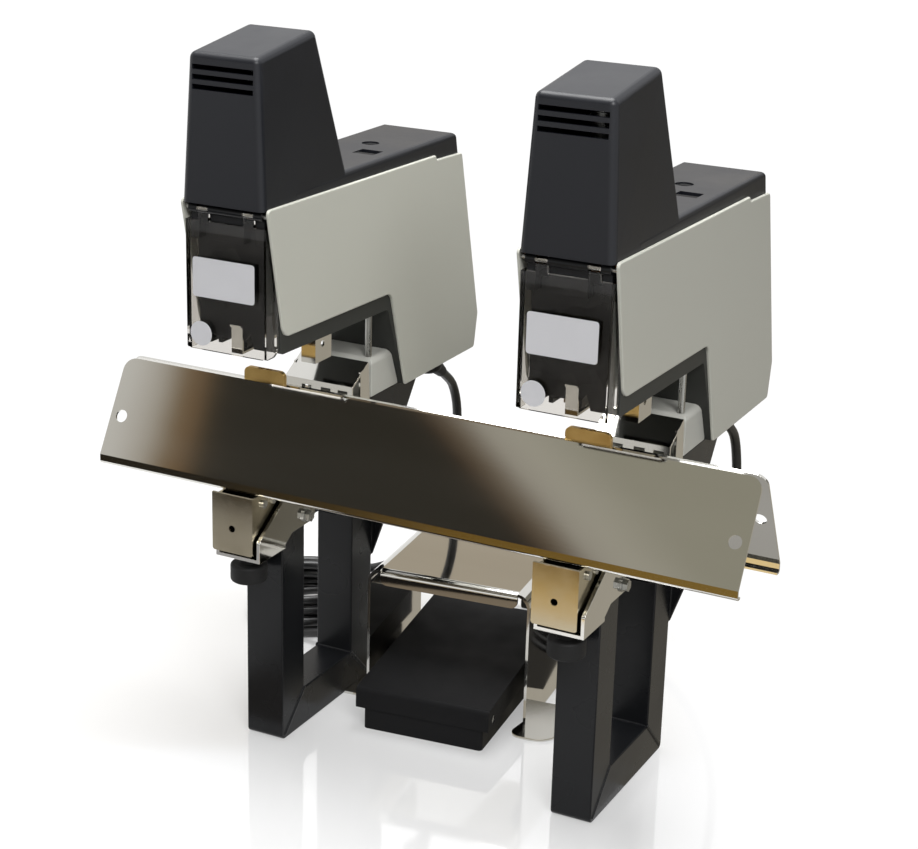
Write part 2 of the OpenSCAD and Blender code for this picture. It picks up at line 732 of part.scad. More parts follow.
module top_cover() color(black_plastic) difference() {
  union() {
    difference() {
      union() {
        tower_form(0);
        deck_form(0);
      }
      tower_form(cover_wall);
      deck_form(cover_wall);
    }
    translate([switch_low[0] - switch_wall, switch_low[1] - switch_wall, deck_top - switch_well])
      cube([switch_size[0] + 2 * switch_wall, switch_size[1] + 2 * switch_wall,
        switch_well - cover_wall / 2]);
  }
  translate([switch_low[0], switch_low[1], deck_top - switch_well - cut])
    cube([switch_size[0], switch_size[1], switch_well + 2 * cut]);
  cross_pin(switch_pin_d + 2 * running, switch_pos[0] - switch_size[0] / 2 - 1.4,
    switch_pos[0] + switch_size[0] / 2 + 1.4, switch_pos[1], deck_top - 4);
  translate([dial_pos[0], dial_pos[1], deck_top - 2 * cover_wall])
    cylinder(d = dial_d + 2 * clear, h = 4 * cover_wall);
  for (i = [0:2])
    block([-vent_half, -tower_front - cut, vent_first - i * vent_pitch - vent_h],
      [vent_half, -tower_front + 9, vent_first - i * vent_pitch]);
}

// Rocker with one half level at rest
module power_switch() color(soft_rubber) translate([switch_pos[0], switch_pos[1], deck_top - 4]) {
  half_x = switch_size[0] / 2 - clear;
  half_y = switch_size[1] / 2 - 1.2;
  side_slab(-half_x, half_x) polygon([
    [-half_y, 3.6], [-half_y + 1.2, 0], [0, -3.4], [half_y - 1.2, -0.6], [half_y, 1], [half_y, 1.4],
    [0, 3.4]]);
  cross_pin(switch_pin_d, -switch_size[0] / 2 - 1.2, switch_size[0] / 2 + 1.2, 0, 0);
}

module force_dial() color(black_plastic) translate([dial_pos[0], dial_pos[1], deck_top]) difference() {
  union() {
    translate([0, 0, -cover_wall - 3]) cylinder(d = dial_d, h = cover_wall + 2);
    translate([0, 0, -cover_wall - clear - 3]) cylinder(d = dial_d + 4, h = 3);
  }
  translate([-dial_d / 2 + 1.5, -0.8, -2.6]) cube([dial_d - 3, 1.6, 3]);
}

// Clear guard: front face, two side walls and two hinge knuckles
module finger_guard() color(clear_acrylic) difference() {
  union() {
    front_slab(hinge_y - guard_t, hinge_y) polygon(rounded([
      [-guard_half, guard_low, 4], [guard_half, guard_low, 4],
      [guard_half, hinge_h - 8, 2], [-guard_half, hinge_h - 8, 2]]));
    for (side = [0, 1]) mirror([side, 0, 0]) {
      side_slab(guard_inner, guard_half) polygon(rounded([
        [hinge_y - guard_t, guard_low, 2], [guard_rear, guard_low, 6],
        [guard_rear, guard_low + 28, 8], [hinge_y + 8, hinge_h - 8, 4],
        [hinge_y - guard_t, hinge_h - 8, 0]]));
      block([guard_knuckle[0], hinge_y - guard_t, hinge_h - 10], [guard_knuckle[1], hinge_y, hinge_h]);
      cross_pin(2 * knuckle_r, guard_knuckle[0], guard_knuckle[1], hinge_y, hinge_h);
    }
  }
  cross_pin(hinge_rod_d + 2 * running, -guard_half, guard_half, hinge_y, hinge_h);
}

module hinge_rod() color(plain_steel)
  cross_pin(hinge_rod_d, -chassis_half + clear, chassis_half - clear, hinge_y, hinge_h);

// Head housing: stepped front plate, hinge knuckle and two cheeks that guide the magazine
cheek_t = 3;
cheek_low = skirt_low + 3;
cheek_in = magazine_half + clear;
knuckle_low = bridge_top - bridge_t - 8;
module head_housing() color(black_paint) difference() {
  union() {
    front_slab(-housing_front, -housing_front + housing_t) polygon([
      [-housing_half, skirt_low + 14], [-16, skirt_low + 8], [8, skirt_low + 8], [12, skirt_low + 13],
      [15, skirt_low + 3], [housing_half, skirt_low + 3], [housing_half, bridge_top - bridge_t],
      [-housing_half, bridge_top - bridge_t]]);
    block([-housing_half, -housing_front, bridge_top - bridge_t - 10],
      [housing_half, -bridge_front, bridge_top - bridge_t]);
    for (side = [-1, 1])
      block([lane_x + (side > 0 ? cheek_in : -cheek_in - cheek_t), -housing_front + housing_t - cut,
        cheek_low],
        [lane_x + (side > 0 ? cheek_in + cheek_t : -cheek_in), bracket_rear - 6, bridge_top - bridge_t]);
    for (k = fixed_knuckles) {
      block([k[0], hinge_y + clear, knuckle_low], [k[1], -housing_front + 1, bridge_top - bridge_t]);
      block([k[0], hinge_y + clear, knuckle_low], [k[1], hinge_y + 3, hinge_h]);
      cross_pin(2 * knuckle_r, k[0], k[1], hinge_y, hinge_h);
    }
  }
  cross_pin(hinge_rod_d + 2 * running, -guard_half, guard_half, hinge_y, hinge_h);
}

// Solenoid: pole plates, side straps and a wound coil round the plunger bore
module solenoid() color(copper_wire) translate([lane_x, 0, yoke_low]) difference() {
  union() {
    for (z = [0, yoke_h - yoke_plate]) translate([-yoke_half, -yoke_half + 2, z])
      cube([2 * yoke_half, 2 * yoke_half - 4, yoke_plate]);
    for (side = [-1, 1]) translate([side * (yoke_half - yoke_plate / 2) - yoke_plate / 2, -yoke_half + 8, 0])
      cube([yoke_plate, 2 * yoke_half - 16, yoke_h]);
    translate([0, 0, yoke_plate - cut]) cylinder(r = coil_r, h = yoke_h - 2 * yoke_plate + 2 * cut);
  }
  translate([0, 0, yoke_plate]) cylinder(d = plunger_d + 4 * running, h = yoke_h);
  translate([0, 0, -cut]) cylinder(d = push_rod_d + 4 * running, h = yoke_plate + 2 * cut);
}

// Plunger with its cap, push rod and driver blade
plunger_low = yoke_low + yoke_plate + driver_stroke + 2.5;
plunger_top = yoke_low + yoke_h + spring_h;
blade_len = 37;
rod_low = nose_low + blade_len;
module driver() color(plain_steel) translate([lane_x, 0, 0]) {
  translate([0, 0, plunger_low]) cylinder(d = plunger_d, h = plunger_top - plunger_low);
  translate([0, 0, plunger_top]) cylinder(r = cap_r, h = cap_h);
  translate([0, 0, rod_low]) cylinder(d = push_rod_d, h = plunger_low - rod_low + cut);
  block([-blade_w / 2, -blade_t / 2, blade_low], [blade_w / 2, blade_t / 2, rod_low + 6]);
}
module return_spring() color(plain_steel) translate([lane_x, 0, yoke_low + yoke_h])
  tube(helix(spring_r, spring_h, spring_wire, spring_turns), spring_wire / 2, wire_sides, [0, 0, 1]);

// Magazine: staple channel, tall guides at the nose, the front catch and the rear bracket under the skirt
module magazine() color(bright_chrome) translate([lane_x, 0, 0]) difference() {
  union() {
    block([-magazine_half, magazine_front, nose_low], [magazine_half, magazine_rear, nose_low + magazine_h]);
    block([-magazine_half, -8, nose_low], [magazine_half, 14, nose_low + guide_rise]);
    block([0, bracket_front, nose_low], [bracket_right, bracket_rear, nose_low + magazine_wall]);
    block([bracket_left, bracket_front, bracket_low],
      [bracket_right, bracket_rear, nose_low + magazine_wall]);
    block([catch_left, catch_front, nose_low], [catch_right, magazine_front + cut, nose_low + magazine_wall]);
    block([catch_left, catch_front, nose_low],
      [catch_right, catch_front + magazine_wall, nose_low + catch_h]);
    block([catch_left, catch_front - catch_lip, nose_low + catch_h - magazine_wall],
      [catch_right, catch_front + magazine_wall, nose_low + catch_h]);
  }
  block([-magazine_half + magazine_wall, magazine_front, nose_low + magazine_wall],
    [magazine_half - magazine_wall, magazine_rear + cut, nose_low + guide_rise + cut]);
  block([-magazine_half + magazine_wall, -blade_t / 2 - clear, nose_low - cut],
    [magazine_half - magazine_wall, blade_t / 2 + clear, nose_low + 2 * magazine_wall]);
  block([bracket_left + magazine_wall, bracket_front + magazine_wall, bracket_low - cut],
    [bracket_right - magazine_wall, bracket_rear + cut, nose_low]);
  cross_pin(bracket_hole_d, bracket_left - cut, bracket_right + cut, bracket_hole_y,
    bracket_low + bracket_hole_rise);
}
module staple_pusher() color(plain_steel) translate([lane_x, pusher_y, nose_low + magazine_wall + clear])
  difference() {
    block([-magazine_half + magazine_wall + clear, 0, 0],
      [magazine_half - magazine_wall - clear, pusher_len, pusher_h]);
    block([-2, 4, 3], [2, pusher_len + cut, pusher_h + cut]);
  }

// Folded chrome guide: foot, slotted bar, sloped face and two cheeks
module rear_guide() color(bright_chrome) difference() {
  union() {
    side_slab(-guide_half, guide_half) polygon([
      [guide_front_y, shelf_h], [cover_front_y - 4, shelf_h], [cover_front_y - 4, shelf_h + guide_t],
      [guide_front_y + guide_t, shelf_h + guide_t], [guide_front_y + guide_t, shelf_h + guide_bar_h - 1],
      [cover_front_y - 6, shelf_h + guide_bar_h + guide_slope_h - 1.5],
      [cover_front_y - 7, shelf_h + guide_bar_h + guide_slope_h],
      [guide_front_y, shelf_h + guide_bar_h]]);
    for (side = [0, 1]) mirror([side, 0, 0]) side_slab(guide_half - guide_t, guide_half) polygon([
      [guide_front_y + 12, shelf_h], [cover_front_y - 4, shelf_h],
      [cover_front_y - 6.2, shelf_h + guide_bar_h + guide_slope_h - 2],
      [guide_front_y + 12, shelf_h + guide_bar_h + 8]]);
  }
  for (x = [-14, 2, 16]) translate([x, guide_front_y - cut, shelf_h + guide_bar_h - 7])
    cube([8, guide_t + 2 * cut, 3]);
}

// Moulded cover over the root of the lower arm, leaning back against the column
module arm_cover() color(grey_paint) intersection() {
  side_slab(-arm_half, arm_half) polygon(rounded([
    [cover_front_y, shelf_h, 0], [column_front(shelf_h), shelf_h, 0], [column_front(cover_top), cover_top, 0],
    [cover_front_y, cover_top, arm_cover_r]]));
  front_slab(cover_front_y - cut, column_foot_y) polygon(rounded([
    [-arm_half, shelf_h, 0], [arm_half, shelf_h, 0],
    [arm_half, cover_top, arm_cover_r], [-arm_half, cover_top, arm_cover_r]]));
}

module throat_rod() {
  translate([rod_x, rod_y, cover_top]) cylinder(d = rod_d, h = skirt_low - throat_fall - cover_top);
}
module throat_rods() color(plain_steel) for (side = [-1, 1]) at_head(side) throat_rod();

// Gland boss under the column with a tilted tapered strain relief
module cord_gland() color(soft_rubber) union() {
  translate([0, gland_y, shelf_h - gland_h]) rotate_extrude() polygon(rounded([
    [0, 0, 0], [gland_r, 0, 6], [gland_r, gland_h, 0], [0, gland_h, 0]]));
  translate(relief_start) rotate([-90 - relief_tilt, 0, 0])
    cylinder(r1 = gland_r * 0.62, r2 = relief_tip, h = relief_len);
}
module cord(drop, coil) color(soft_rubber) tube(cord_path(drop, coil), cord_d / 2, tube_sides, [0, 1, 0]);
module cord_coil(coil) color(soft_rubber) tube(coil_path(coil), cord_d / 2, coil_sides, [0, 0, 1]);
module plug(coil) color(soft_rubber) translate(coil_end(coil)) mirror([coil_way(coil) < 0 ? 1 : 0, 0, 0]) {
  side_slab(0, plug_len) polygon(rounded([
    [-plug_half_w, -plug_half_h, 4], [plug_half_w, -plug_half_h, 4],
    [plug_half_w, plug_half_h, 6], [-plug_half_w, plug_half_h, 6]]));
  for (side = [-1, 1]) cross_pin(pin_d, plug_len - cut, plug_len + pin_len, side * pin_gap / 2, 0);
}

foot_neck_d = 13;
foot_neck_h = 7;
module rubber_foot() translate([0, (channel_front + leg_front_y) / 2 - 3, channel_low - foot_h])
  rotate_extrude() polygon(rounded([
    [0, 0, 0], [foot_d / 2, 0, 2], [foot_d / 2, foot_h - foot_neck_h, 2],
    [foot_neck_d / 2, foot_h - foot_neck_h, 0], [foot_neck_d / 2, foot_h, 0], [0, foot_h, 0]]));
module rubber_feet() color(soft_rubber) for (side = [-1, 1]) at_head(side) rubber_foot();

// Through bolt of the lower arm with its head, washers and nut, and the small carrier screws
bolt_head_h = 3.5;
washer_t = 1.5;
module through_bolt() {
  reach = channel_half + washer_t;
  cross_pin(bolt_d, -reach - bolt_head_h, reach + bolt_head_h, bolt_y, bolt_h);
  for (side = [0, 1]) mirror([side, 0, 0]) {
    cross_pin(2 * bolt_d, channel_half, reach, bolt_y, bolt_h);
    translate([reach - 0.1, bolt_y, bolt_h]) rotate([0, 90, 0])
      cylinder(d = 1.7 * bolt_d, h = bolt_head_h, $fn = 6);
  }
}
screw_head_d = 6;
screw_head_h = 1.8;
screw_drop = 8;
screw_rows = [-30, -18];
module carrier_screws() for (y = screw_rows)
  cross_pin(screw_head_d, carrier_x + carrier_half, carrier_x + carrier_half + screw_head_h, y,
    saddle_low - screw_drop);
module bolts() color(plain_steel) for (side = [-1, 1]) at_head(side) {
  through_bolt();
  carrier_screws();
}

// Pedal pieces are drawn about the pedal's own middle
module at_pedal() translate([pedal_x, base_front - mid_y, 0]) rotate([0, 0, pedal_turn])
  translate([0, -base_front, 0]) children();
ear_inset = 6;
ear_half = base_half - ear_inset;
ear_t = 5;
module pedal_base() color(black_plastic) at_pedal() difference() {
  union() {
    linear_extrude(base_h) polygon(rounded([
      [-base_half, base_front, 3], [base_half, base_front, 3], [base_half, base_rear, 3],
      [-base_half, base_rear, 3]]));
    for (side = [0, 1]) mirror([side, 0, 0]) {
      side_slab(ear_half - ear_t, ear_half) polygon(rounded([
        [pivot_y - 7, base_h - cut, 0], [pivot_y + 7, base_h - cut, 0],
        [pivot_y + 6, pivot_h + 5, 4], [pivot_y - 6, pivot_h + 5, 4]]));
      block([base_half - 4, lug_front, 0], [hood_w / 2 - hood_t, lug_rear, lug_h]);
    }
    translate([0, pedal_spring_y, 0]) cylinder(r = pedal_spring_r - 2, h = base_h + 4);
  }
  cross_pin(pivot_d + 2 * running, -base_half, base_half, pivot_y, pivot_h);
  cross_pin(hood_screw_d, -hood_w, hood_w, hood_screw_y, lug_h / 2);
}

// Hollow wedge with open underside, turning on the pin near its front edge
module treadle_side(d) polygon(rounded([
  [pedal_front + d, treadle_low - (d > 0 ? 3 * cut : 0), 0],
  [pedal_front + treadle_len - d, treadle_low + treadle_rear_rise - (d > 0 ? 3 * cut : 0), 0],
  [pedal_front + treadle_len - d, treadle_front_top + treadle_tilt - d, d > 0 ? 0 : 3],
  [pedal_front + d, treadle_front_top - d, d > 0 ? 0 : 4]]));
module pedal_treadle() color(black_plastic) at_pedal() difference() {
  side_slab(-treadle_w / 2, treadle_w / 2) treadle_side(0);
  side_slab(-treadle_w / 2 + treadle_wall, treadle_w / 2 - treadle_wall) treadle_side(treadle_wall);
  cross_pin(pivot_d + 2 * running, -treadle_w, treadle_w, pivot_y, pivot_h);
}
module pedal_pin() color(plain_steel) at_pedal()
  cross_pin(pivot_d, -treadle_w / 2 + 0.5, treadle_w / 2 - 0.5, pivot_y, pivot_h);
module pedal_spring() color(plain_steel) at_pedal() translate([0, pedal_spring_y, base_h])
  tube(helix(pedal_spring_r, pedal_spring_top - base_h, spring_wire, spring_turns), spring_wire / 2,
    wire_sides, [0, 0, 1]);

// Bent sheet hood with a rolled front lip and rounded feet, the left one cut along the leg
module hood_outline(d) polygon(rounded([
  [-hood_w / 2 + d, -cut * (d > 0 ? 1 : 0), 0], [hood_w / 2 - d, -cut * (d > 0 ? 1 : 0), 0],
  [hood_w / 2 - d, hood_h - d, hood_r], [-hood_w / 2 + d, hood_h - d, hood_r]]));
module hood_sheet() difference() {
  union() {
    front_slab(hood_front, hood_rear) difference() {
      hood_outline(0);
      hood_outline(hood_t);
    }
    front_slab(hood_front, hood_front + hood_t) polygon(rounded([
      [-hood_lip_half, hood_h - hood_lip, hood_lip_r], [hood_lip_half, hood_h - hood_lip, hood_lip_r],
      [hood_lip_half, hood_h - hood_t / 2, 0], [-hood_lip_half, hood_h - hood_t / 2, 0]]));
    linear_extrude(hood_t) polygon(rounded([
      [hood_w / 2 - foot_in, hood_front - foot_ahead, foot_r / 2],
      [hood_w / 2 + foot_out, hood_front - foot_ahead, foot_r],
      [hood_w / 2 + foot_out, hood_front - foot_ahead + foot_len, foot_r],
      [hood_w / 2 - hood_t, hood_front - foot_ahead + foot_len, 0],
      [hood_w / 2 - hood_t, hood_front + 2 * foot_in, 0]]));
    linear_extrude(hood_t) polygon([
      [-hood_w / 2 + hood_t, hood_front], [-hood_w / 2 + hood_t, hood_front + foot_len],
      [-hood_w / 2 - foot_out, hood_front + foot_len], [-hood_w / 2 - foot_out, hood_front]]);
  }
  cross_pin(hood_screw_d, -hood_w, hood_w, hood_screw_y, lug_h / 2);
  difference() {
    block([-hood_lip_half, hood_front - cut, hood_h - hood_roll],
      [hood_lip_half, hood_front + hood_roll, hood_h + cut]);
    cross_pin(2 * hood_roll, -hood_w, hood_w, hood_front + hood_roll, hood_h - hood_roll);
  }
}
module pedal_hood() color(bright_chrome) difference() {
  at_pedal() hood_sheet();
  at_head(-1) block([-hood_w, leg_front_y - cut, -cut], [tube_w / 2 + clear, body_rear, 2 * hood_t]);
}

echo(cord_gap = min(coil_gap(left_coil), coil_gap(right_coil)));
echo(left_cord_length = length_of(cord_path(left_drop, left_coil)) + length_of(coil_path(left_coil)));
echo(right_cord_length = length_of(cord_path(right_drop, right_coil)) + length_of(coil_path(right_coil)));

at_head(-1) leg_frame();  // left_leg_frame
at_head(-1) base_channel();  // left_base_channel
at_head(-1) saddle_carrier();  // left_saddle_carrier
at_head(-1) lower_arm();  // left_lower_arm
at_head(-1) body_frame();  // left_body_frame
at_head(-1) side_panel(-1);  // left_unit_left_panel
at_head(-1) side_panel(1);  // left_unit_right_panel
at_head(-1) top_cover();  // left_top_cover
at_head(-1) finger_guard();  // left_finger_guard
at_head(-1) hinge_rod();  // left_hinge_rod
at_head(-1) head_housing();  // left_head_housing
at_head(-1) driver();  // left_driver
at_head(-1) solenoid();  // left_solenoid
at_head(-1) return_spring();  // left_return_spring
at_head(-1) magazine();  // left_magazine
at_head(-1) staple_pusher();  // left_staple_pusher
at_head(-1) rear_guide();  // left_rear_guide
at_head(-1) arm_cover();  // left_arm_cover
at_head(-1) anvil();  // left_anvil
at_head(-1) power_switch();  // left_power_switch
at_head(-1) force_dial();  // left_force_dial
at_head(-1) cord_gland();  // left_cord_gland
at_head(-1) cord(left_drop, left_coil);  // left_cord
at_head(-1) cord_coil(left_coil);  // left_cord_coil
at_head(-1) plug(left_coil);  // left_plug
at_head(1) leg_frame();  // right_leg_frame
at_head(1) base_channel();  // right_base_channel
at_head(1) saddle_carrier();  // right_saddle_carrier
at_head(1) lower_arm();  // right_lower_arm
at_head(1) body_frame();  // right_body_frame
at_head(1) side_panel(-1);  // right_unit_left_panel
at_head(1) side_panel(1);  // right_unit_right_panel
at_head(1) top_cover();  // right_top_cover
at_head(1) finger_guard();  // right_finger_guard
at_head(1) hinge_rod();  // right_hinge_rod
at_head(1) head_housing();  // right_head_housing
at_head(1) driver();  // right_driver
at_head(1) solenoid();  // right_solenoid
at_head(1) return_spring();  // right_return_spring
at_head(1) magazine();  // right_magazine
at_head(1) staple_pusher();  // right_staple_pusher
at_head(1) rear_guide();  // right_rear_guide
at_head(1) arm_cover();  // right_arm_cover
at_head(1) anvil();  // right_anvil
at_head(1) power_switch();  // right_power_switch
at_head(1) force_dial();  // right_force_dial
at_head(1) cord_gland();  // right_cord_gland
at_head(1) cord(right_drop, right_coil);  // right_cord
at_head(1) cord_coil(right_coil);  // right_cord_coil
at_head(1) plug(right_coil);  // right_plug
saddle_front_plate();
saddle_rear_plate();
rubber_feet();
bolts();
throat_rods();
pedal_base();
pedal_treadle();
pedal_pin();
pedal_spring();
pedal_hood();
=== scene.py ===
import json
import math

import bpy
from mathutils import Matrix, Vector


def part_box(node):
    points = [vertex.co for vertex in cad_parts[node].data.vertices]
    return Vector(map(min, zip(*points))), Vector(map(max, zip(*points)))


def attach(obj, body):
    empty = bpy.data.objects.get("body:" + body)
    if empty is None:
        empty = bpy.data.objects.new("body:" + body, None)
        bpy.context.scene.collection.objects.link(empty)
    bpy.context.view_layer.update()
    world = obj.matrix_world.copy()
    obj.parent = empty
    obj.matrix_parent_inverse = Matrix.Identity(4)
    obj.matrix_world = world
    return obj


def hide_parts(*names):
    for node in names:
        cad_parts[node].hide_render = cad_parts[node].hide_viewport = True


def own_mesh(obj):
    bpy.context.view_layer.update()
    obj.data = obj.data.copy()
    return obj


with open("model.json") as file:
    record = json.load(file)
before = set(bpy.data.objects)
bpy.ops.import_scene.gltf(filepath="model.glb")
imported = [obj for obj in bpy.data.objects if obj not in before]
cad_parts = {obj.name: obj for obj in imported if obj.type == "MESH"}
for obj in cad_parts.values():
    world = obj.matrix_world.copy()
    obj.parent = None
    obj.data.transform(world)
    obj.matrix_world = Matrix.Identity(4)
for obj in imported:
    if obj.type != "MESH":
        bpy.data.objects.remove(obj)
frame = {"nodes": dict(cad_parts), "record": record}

bl_info = {
    "name": "Saddle stapler dresser",
    "version": (1, 0, 0),
    "blender": (4, 5, 0),
    "location": "View3D > Sidebar > Stapler",
    "description": "Finishes the twin-head saddle stapler: paint, chrome, mouldings, guards, cords and stage",
    "category": "Object",
}

NODES = frame["nodes"]
RECORD = frame["record"]
BODY_OF = {n: b for b, members in RECORD["behaviour"]["bodies"].items() for n in members}
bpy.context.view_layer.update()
SIDES = {"left": -1, "right": 1}
MM = 0.001

# Modelling: loose points closer than WELD_GAP are one, faces within FLATTEN degrees are one, and edges up to
# SMOOTH_EDGE degrees shade as a curve. Faces over FLAT_AREA, and those level with them, stay flat.
WELD_GAP = 0.01 * MM
FLATTEN = 0.4
SMOOTH_EDGE = 26
SMOOTH_WIRE = 50
FLAT_AREA = 2000 * MM ** 2
LEVEL = 0.99999
ON_FACE = 0.02 * MM

# Camera: pixels of the photograph, degrees round, up and tilted, place in metres
IMAGE_W = 918
IMAGE_H = 849
FOCAL_PX = 2076.33
CENTRE_PX = (462.39, 420.48)
CAMERA_TURN = (26.379, 18.959, 1.651)
CAMERA_PLACE = (0.60526, -1.26737, 0.71504)
SENSOR_W = 36.0
FAR_CLIP = 60.0

# Stage: light, and the share of plain white in the floor near the object
SKY = 0.42
FLOOR_R = 9.0
FLOOR_GAP = 0.0002
FLOOR_GLOW = 1.03
FLOOR_WHITE = 0.36
FADE_FROM, FADE_TO = 0.3, 0.95
# Painted light: on the floor's side along LIT_SIDE the floor turns to plain white glow, hiding its shadow and
# reflections there
LIT_SIDE = (0.9, 0.45, 0.0)
LIT_FROM, LIT_TO = 0.1, 0.18
LAMPS = (
    ("Top_softbox", (-0.2, 0.1, 2.4), (0, 0, 0.2), 1.8, 82),
    ("Right_softbox", (2.05, -2.28, 2.57), (0, 0, 0.25), 1.6, 90),
    ("Front_fill", (-1.3, -2.0, 1.3), (0, 0, 0.25), 1.2, 4),
)

# Plain screens that only mirrors see, painted reflections of dark, grey and tan surroundings in the chrome,
# zinc and brass: name, middle, facing, size and tone
UP = (0, 0, 1)
PLAIN_SCREENS = (
    ("Ash_floor", (-0.4, -0.485, 0.001), UP, (0.4, 0.13), "#B4B3B4"),
    ("Straw_floor", (-0.02, -0.515, 0.001), UP, (0.34, 0.07), "#FFE0A0"),
    ("Dark_floor", (-0.095, -0.33, 0.001), UP, (0.19, 0.2), "#1E1C1A"),
    ("Tan_floor", (-0.095, -0.18, 0.001), UP, (0.19, 0.1), "#8A7D6C"),
    ("Pale_floor", (0.22, -0.14, 0.001), UP, (0.16, 0.24), "#B2B0AC"),
    ("Shade_floor", (0.085, 0.1825, 0.0012), UP, (0.09, 0.245), "#33312E"),
    ("Grey_floor", (0.75, 0.775, 0.001), UP, (1.7, 1.65), "#B0AA9D"),
    ("Grey_screen", (0.8, 1.3, 0.4), (-0.5, -0.85, 0), (1.8, 0.8), "#7E7A70"),
    ("Tan_screen", (-0.62, 1.15, 0.6), (0.45, -0.85, 0), (1.4, 0.26), "#B9AF9E"),
)

# Toned screens, painted reflections: glowing cards that only mirrors see, whose dark, brown and tan bands the
# chrome saddle and the zinc and brass mirror. Ramps of place and tone, and the slant of each ramp across the
# screen
NEAR_SLANT = -0.145
NEAR_TONES = ((0.225, "#302D26"), (0.238, "#4A4030"), (0.248, "#745C41"), (0.265, "#7D6648"),
              (0.275, "#968A78"), (0.29, "#BAB4AA"), (0.32, "#D8D6D1"))
FAR_SLANT = -1.488
FAR_TONES = ((0.13, "#A09D8E"), (0.25, "#B2AEA1"), (0.31, "#ACA79C"), (0.34, "#887F73"), (0.365, "#6C5F4F"),
             (0.39, "#544637"), (0.42, "#2E261C"), (0.46, "#302D26"))
FOOT_FROM, FOOT_TO = -0.19, -0.36
FOOT_TONES = ((0.0, "#000000"), (0.25, "#3A362E"), (1.0, "#A8A294"))
BROWN_TONES = ((0.05, "#94783E"), (0.28, "#745A28"), (0.36, "#45371C"), (0.44, "#2A251C"), (0.9, "#3A342A"))
DRIFT_SCALE = 5.0
DRIFT = 0.02

# Small trim, in millimetres
CORD_D = 7.5
PIN_LEN = 19.2
TIE_W, TIE_T, TIE_R = 9, 0.6, 4
TIE_PLAY = 0.8
TIE_LOW = 0.15
TUBE_W = 30
LEG_FRONT, LEG_REAR = -7, 122
BEADS = 28
BEAD_INSET = 3
BEAD_FLAT = 0.55
PLATE_X, PLATE_Z = -1.2, 354.5
PLATE_R, PLATE_T, PLATE_PROUD = 2.2, 0.12, 0.16
DISC_X, DISC_Z = -19.2, 315.7
DISC_R, DISC_T, DISC_EDGE, DISC_PROUD = 8.4, 0.3, 0.08, 0.12

# Travel of what presses each spring, in millimetres
DRIVER_TRAVEL = 25.5
TREADLE_TRAVEL = 8.6


def linear(hex_colour):
    """Linear RGB of an sRGB hex value."""
    parts = [int(hex_colour[i:i + 2], 16) / 255 for i in (1, 3, 5)]
    return [p / 12.92 if p <= 0.04045 else ((p + 0.055) / 1.055) ** 2.4 for p in parts]


def rgba(hex_colour):
    return linear(hex_colour) + [1.0]


class StaplerSizes(bpy.types.PropertyGroup):
    """Sizes of the scene's own pieces."""
    head_spacing: bpy.props.FloatProperty(
        name="Head spacing", description="Distance between the two heads", default=0.244, unit="LENGTH")
    mid_depth: bpy.props.FloatProperty(
        name="Middle depth", description="Depth of the frame's origin behind the ridge", default=0.1035,
        unit="LENGTH")
    cord_diameter: bpy.props.FloatProperty(
        name="Cord diameter", description="Diameter of the mains cords", default=CORD_D * MM,
        unit="LENGTH")
    weld_radius: bpy.props.FloatProperty(
        name="Weld radius", description="Radius of the weld beads on the leg corners", default=0.0016,
        unit="LENGTH")
    plate_width: bpy.props.FloatProperty(
        name="Plate width", description="Width of the blank plate on a guard", default=0.048, unit="LENGTH")
    plate_height: bpy.props.FloatProperty(
        name="Plate height", description="Height of the blank plate on a guard", default=0.027, unit="LENGTH")


class StaplerColours(bpy.types.PropertyGroup):
    """Colours of the finishes, in linear RGB."""
    panel: bpy.props.FloatVectorProperty(
        name="Panels", description="Grey paint of the side panels", subtype="COLOR", size=3,
        default=linear("#C2C2B8"))
    cover: bpy.props.FloatVectorProperty(
        name="Covers", description="Charcoal of the moulded covers", subtype="COLOR", size=3,
        default=linear("#101218"))
    legs: bpy.props.FloatVectorProperty(
        name="Legs", description="Black paint of the legs", subtype="COLOR", size=3,
        default=linear("#131416"))
    plate: bpy.props.FloatVectorProperty(
        name="Plates", description="White of the blank plates", subtype="COLOR", size=3,
        default=linear("#CDCDD0"))


def sizes():
    return bpy.context.scene.stapler_sizes


def colours():
    return bpy.context.scene.stapler_colours


# Shading

def add(tree, kind, inputs=None, **settings):
    """One shader node with its settings, socket values and links."""
    made = tree.nodes.new(kind)
    for field, value in settings.items():
        setattr(made, field, value)
    for socket, value in (inputs or {}).items():
        if isinstance(value, bpy.types.NodeSocket):
            tree.links.new(value, made.inputs[socket])
        else:
            made.inputs[socket].default_value = value
    return made


def per_mm(size):
    """Noise scale whose features are about that many millimetres."""
    return 1.0 / (size * MM)


def in_sight(tree):
    """1 for what the camera sees, straight, in a mirror or through a clear sheet."""
    path = add(tree, "ShaderNodeLightPath")
    seen = add(tree, "ShaderNodeMath", {0: path.outputs["Is Camera Ray"], 1: path.outputs["Is Glossy Ray"]},
               operation="MAXIMUM")
    return add(tree, "ShaderNodeMath", {0: seen.outputs[0], 1: path.outputs["Is Transmission Ray"]},
               operation="MAXIMUM").outputs[0]


def empty_material(name):
    made = bpy.data.materials.new(name)
    made.use_nodes = True
    made.node_tree.nodes.clear()
    return made


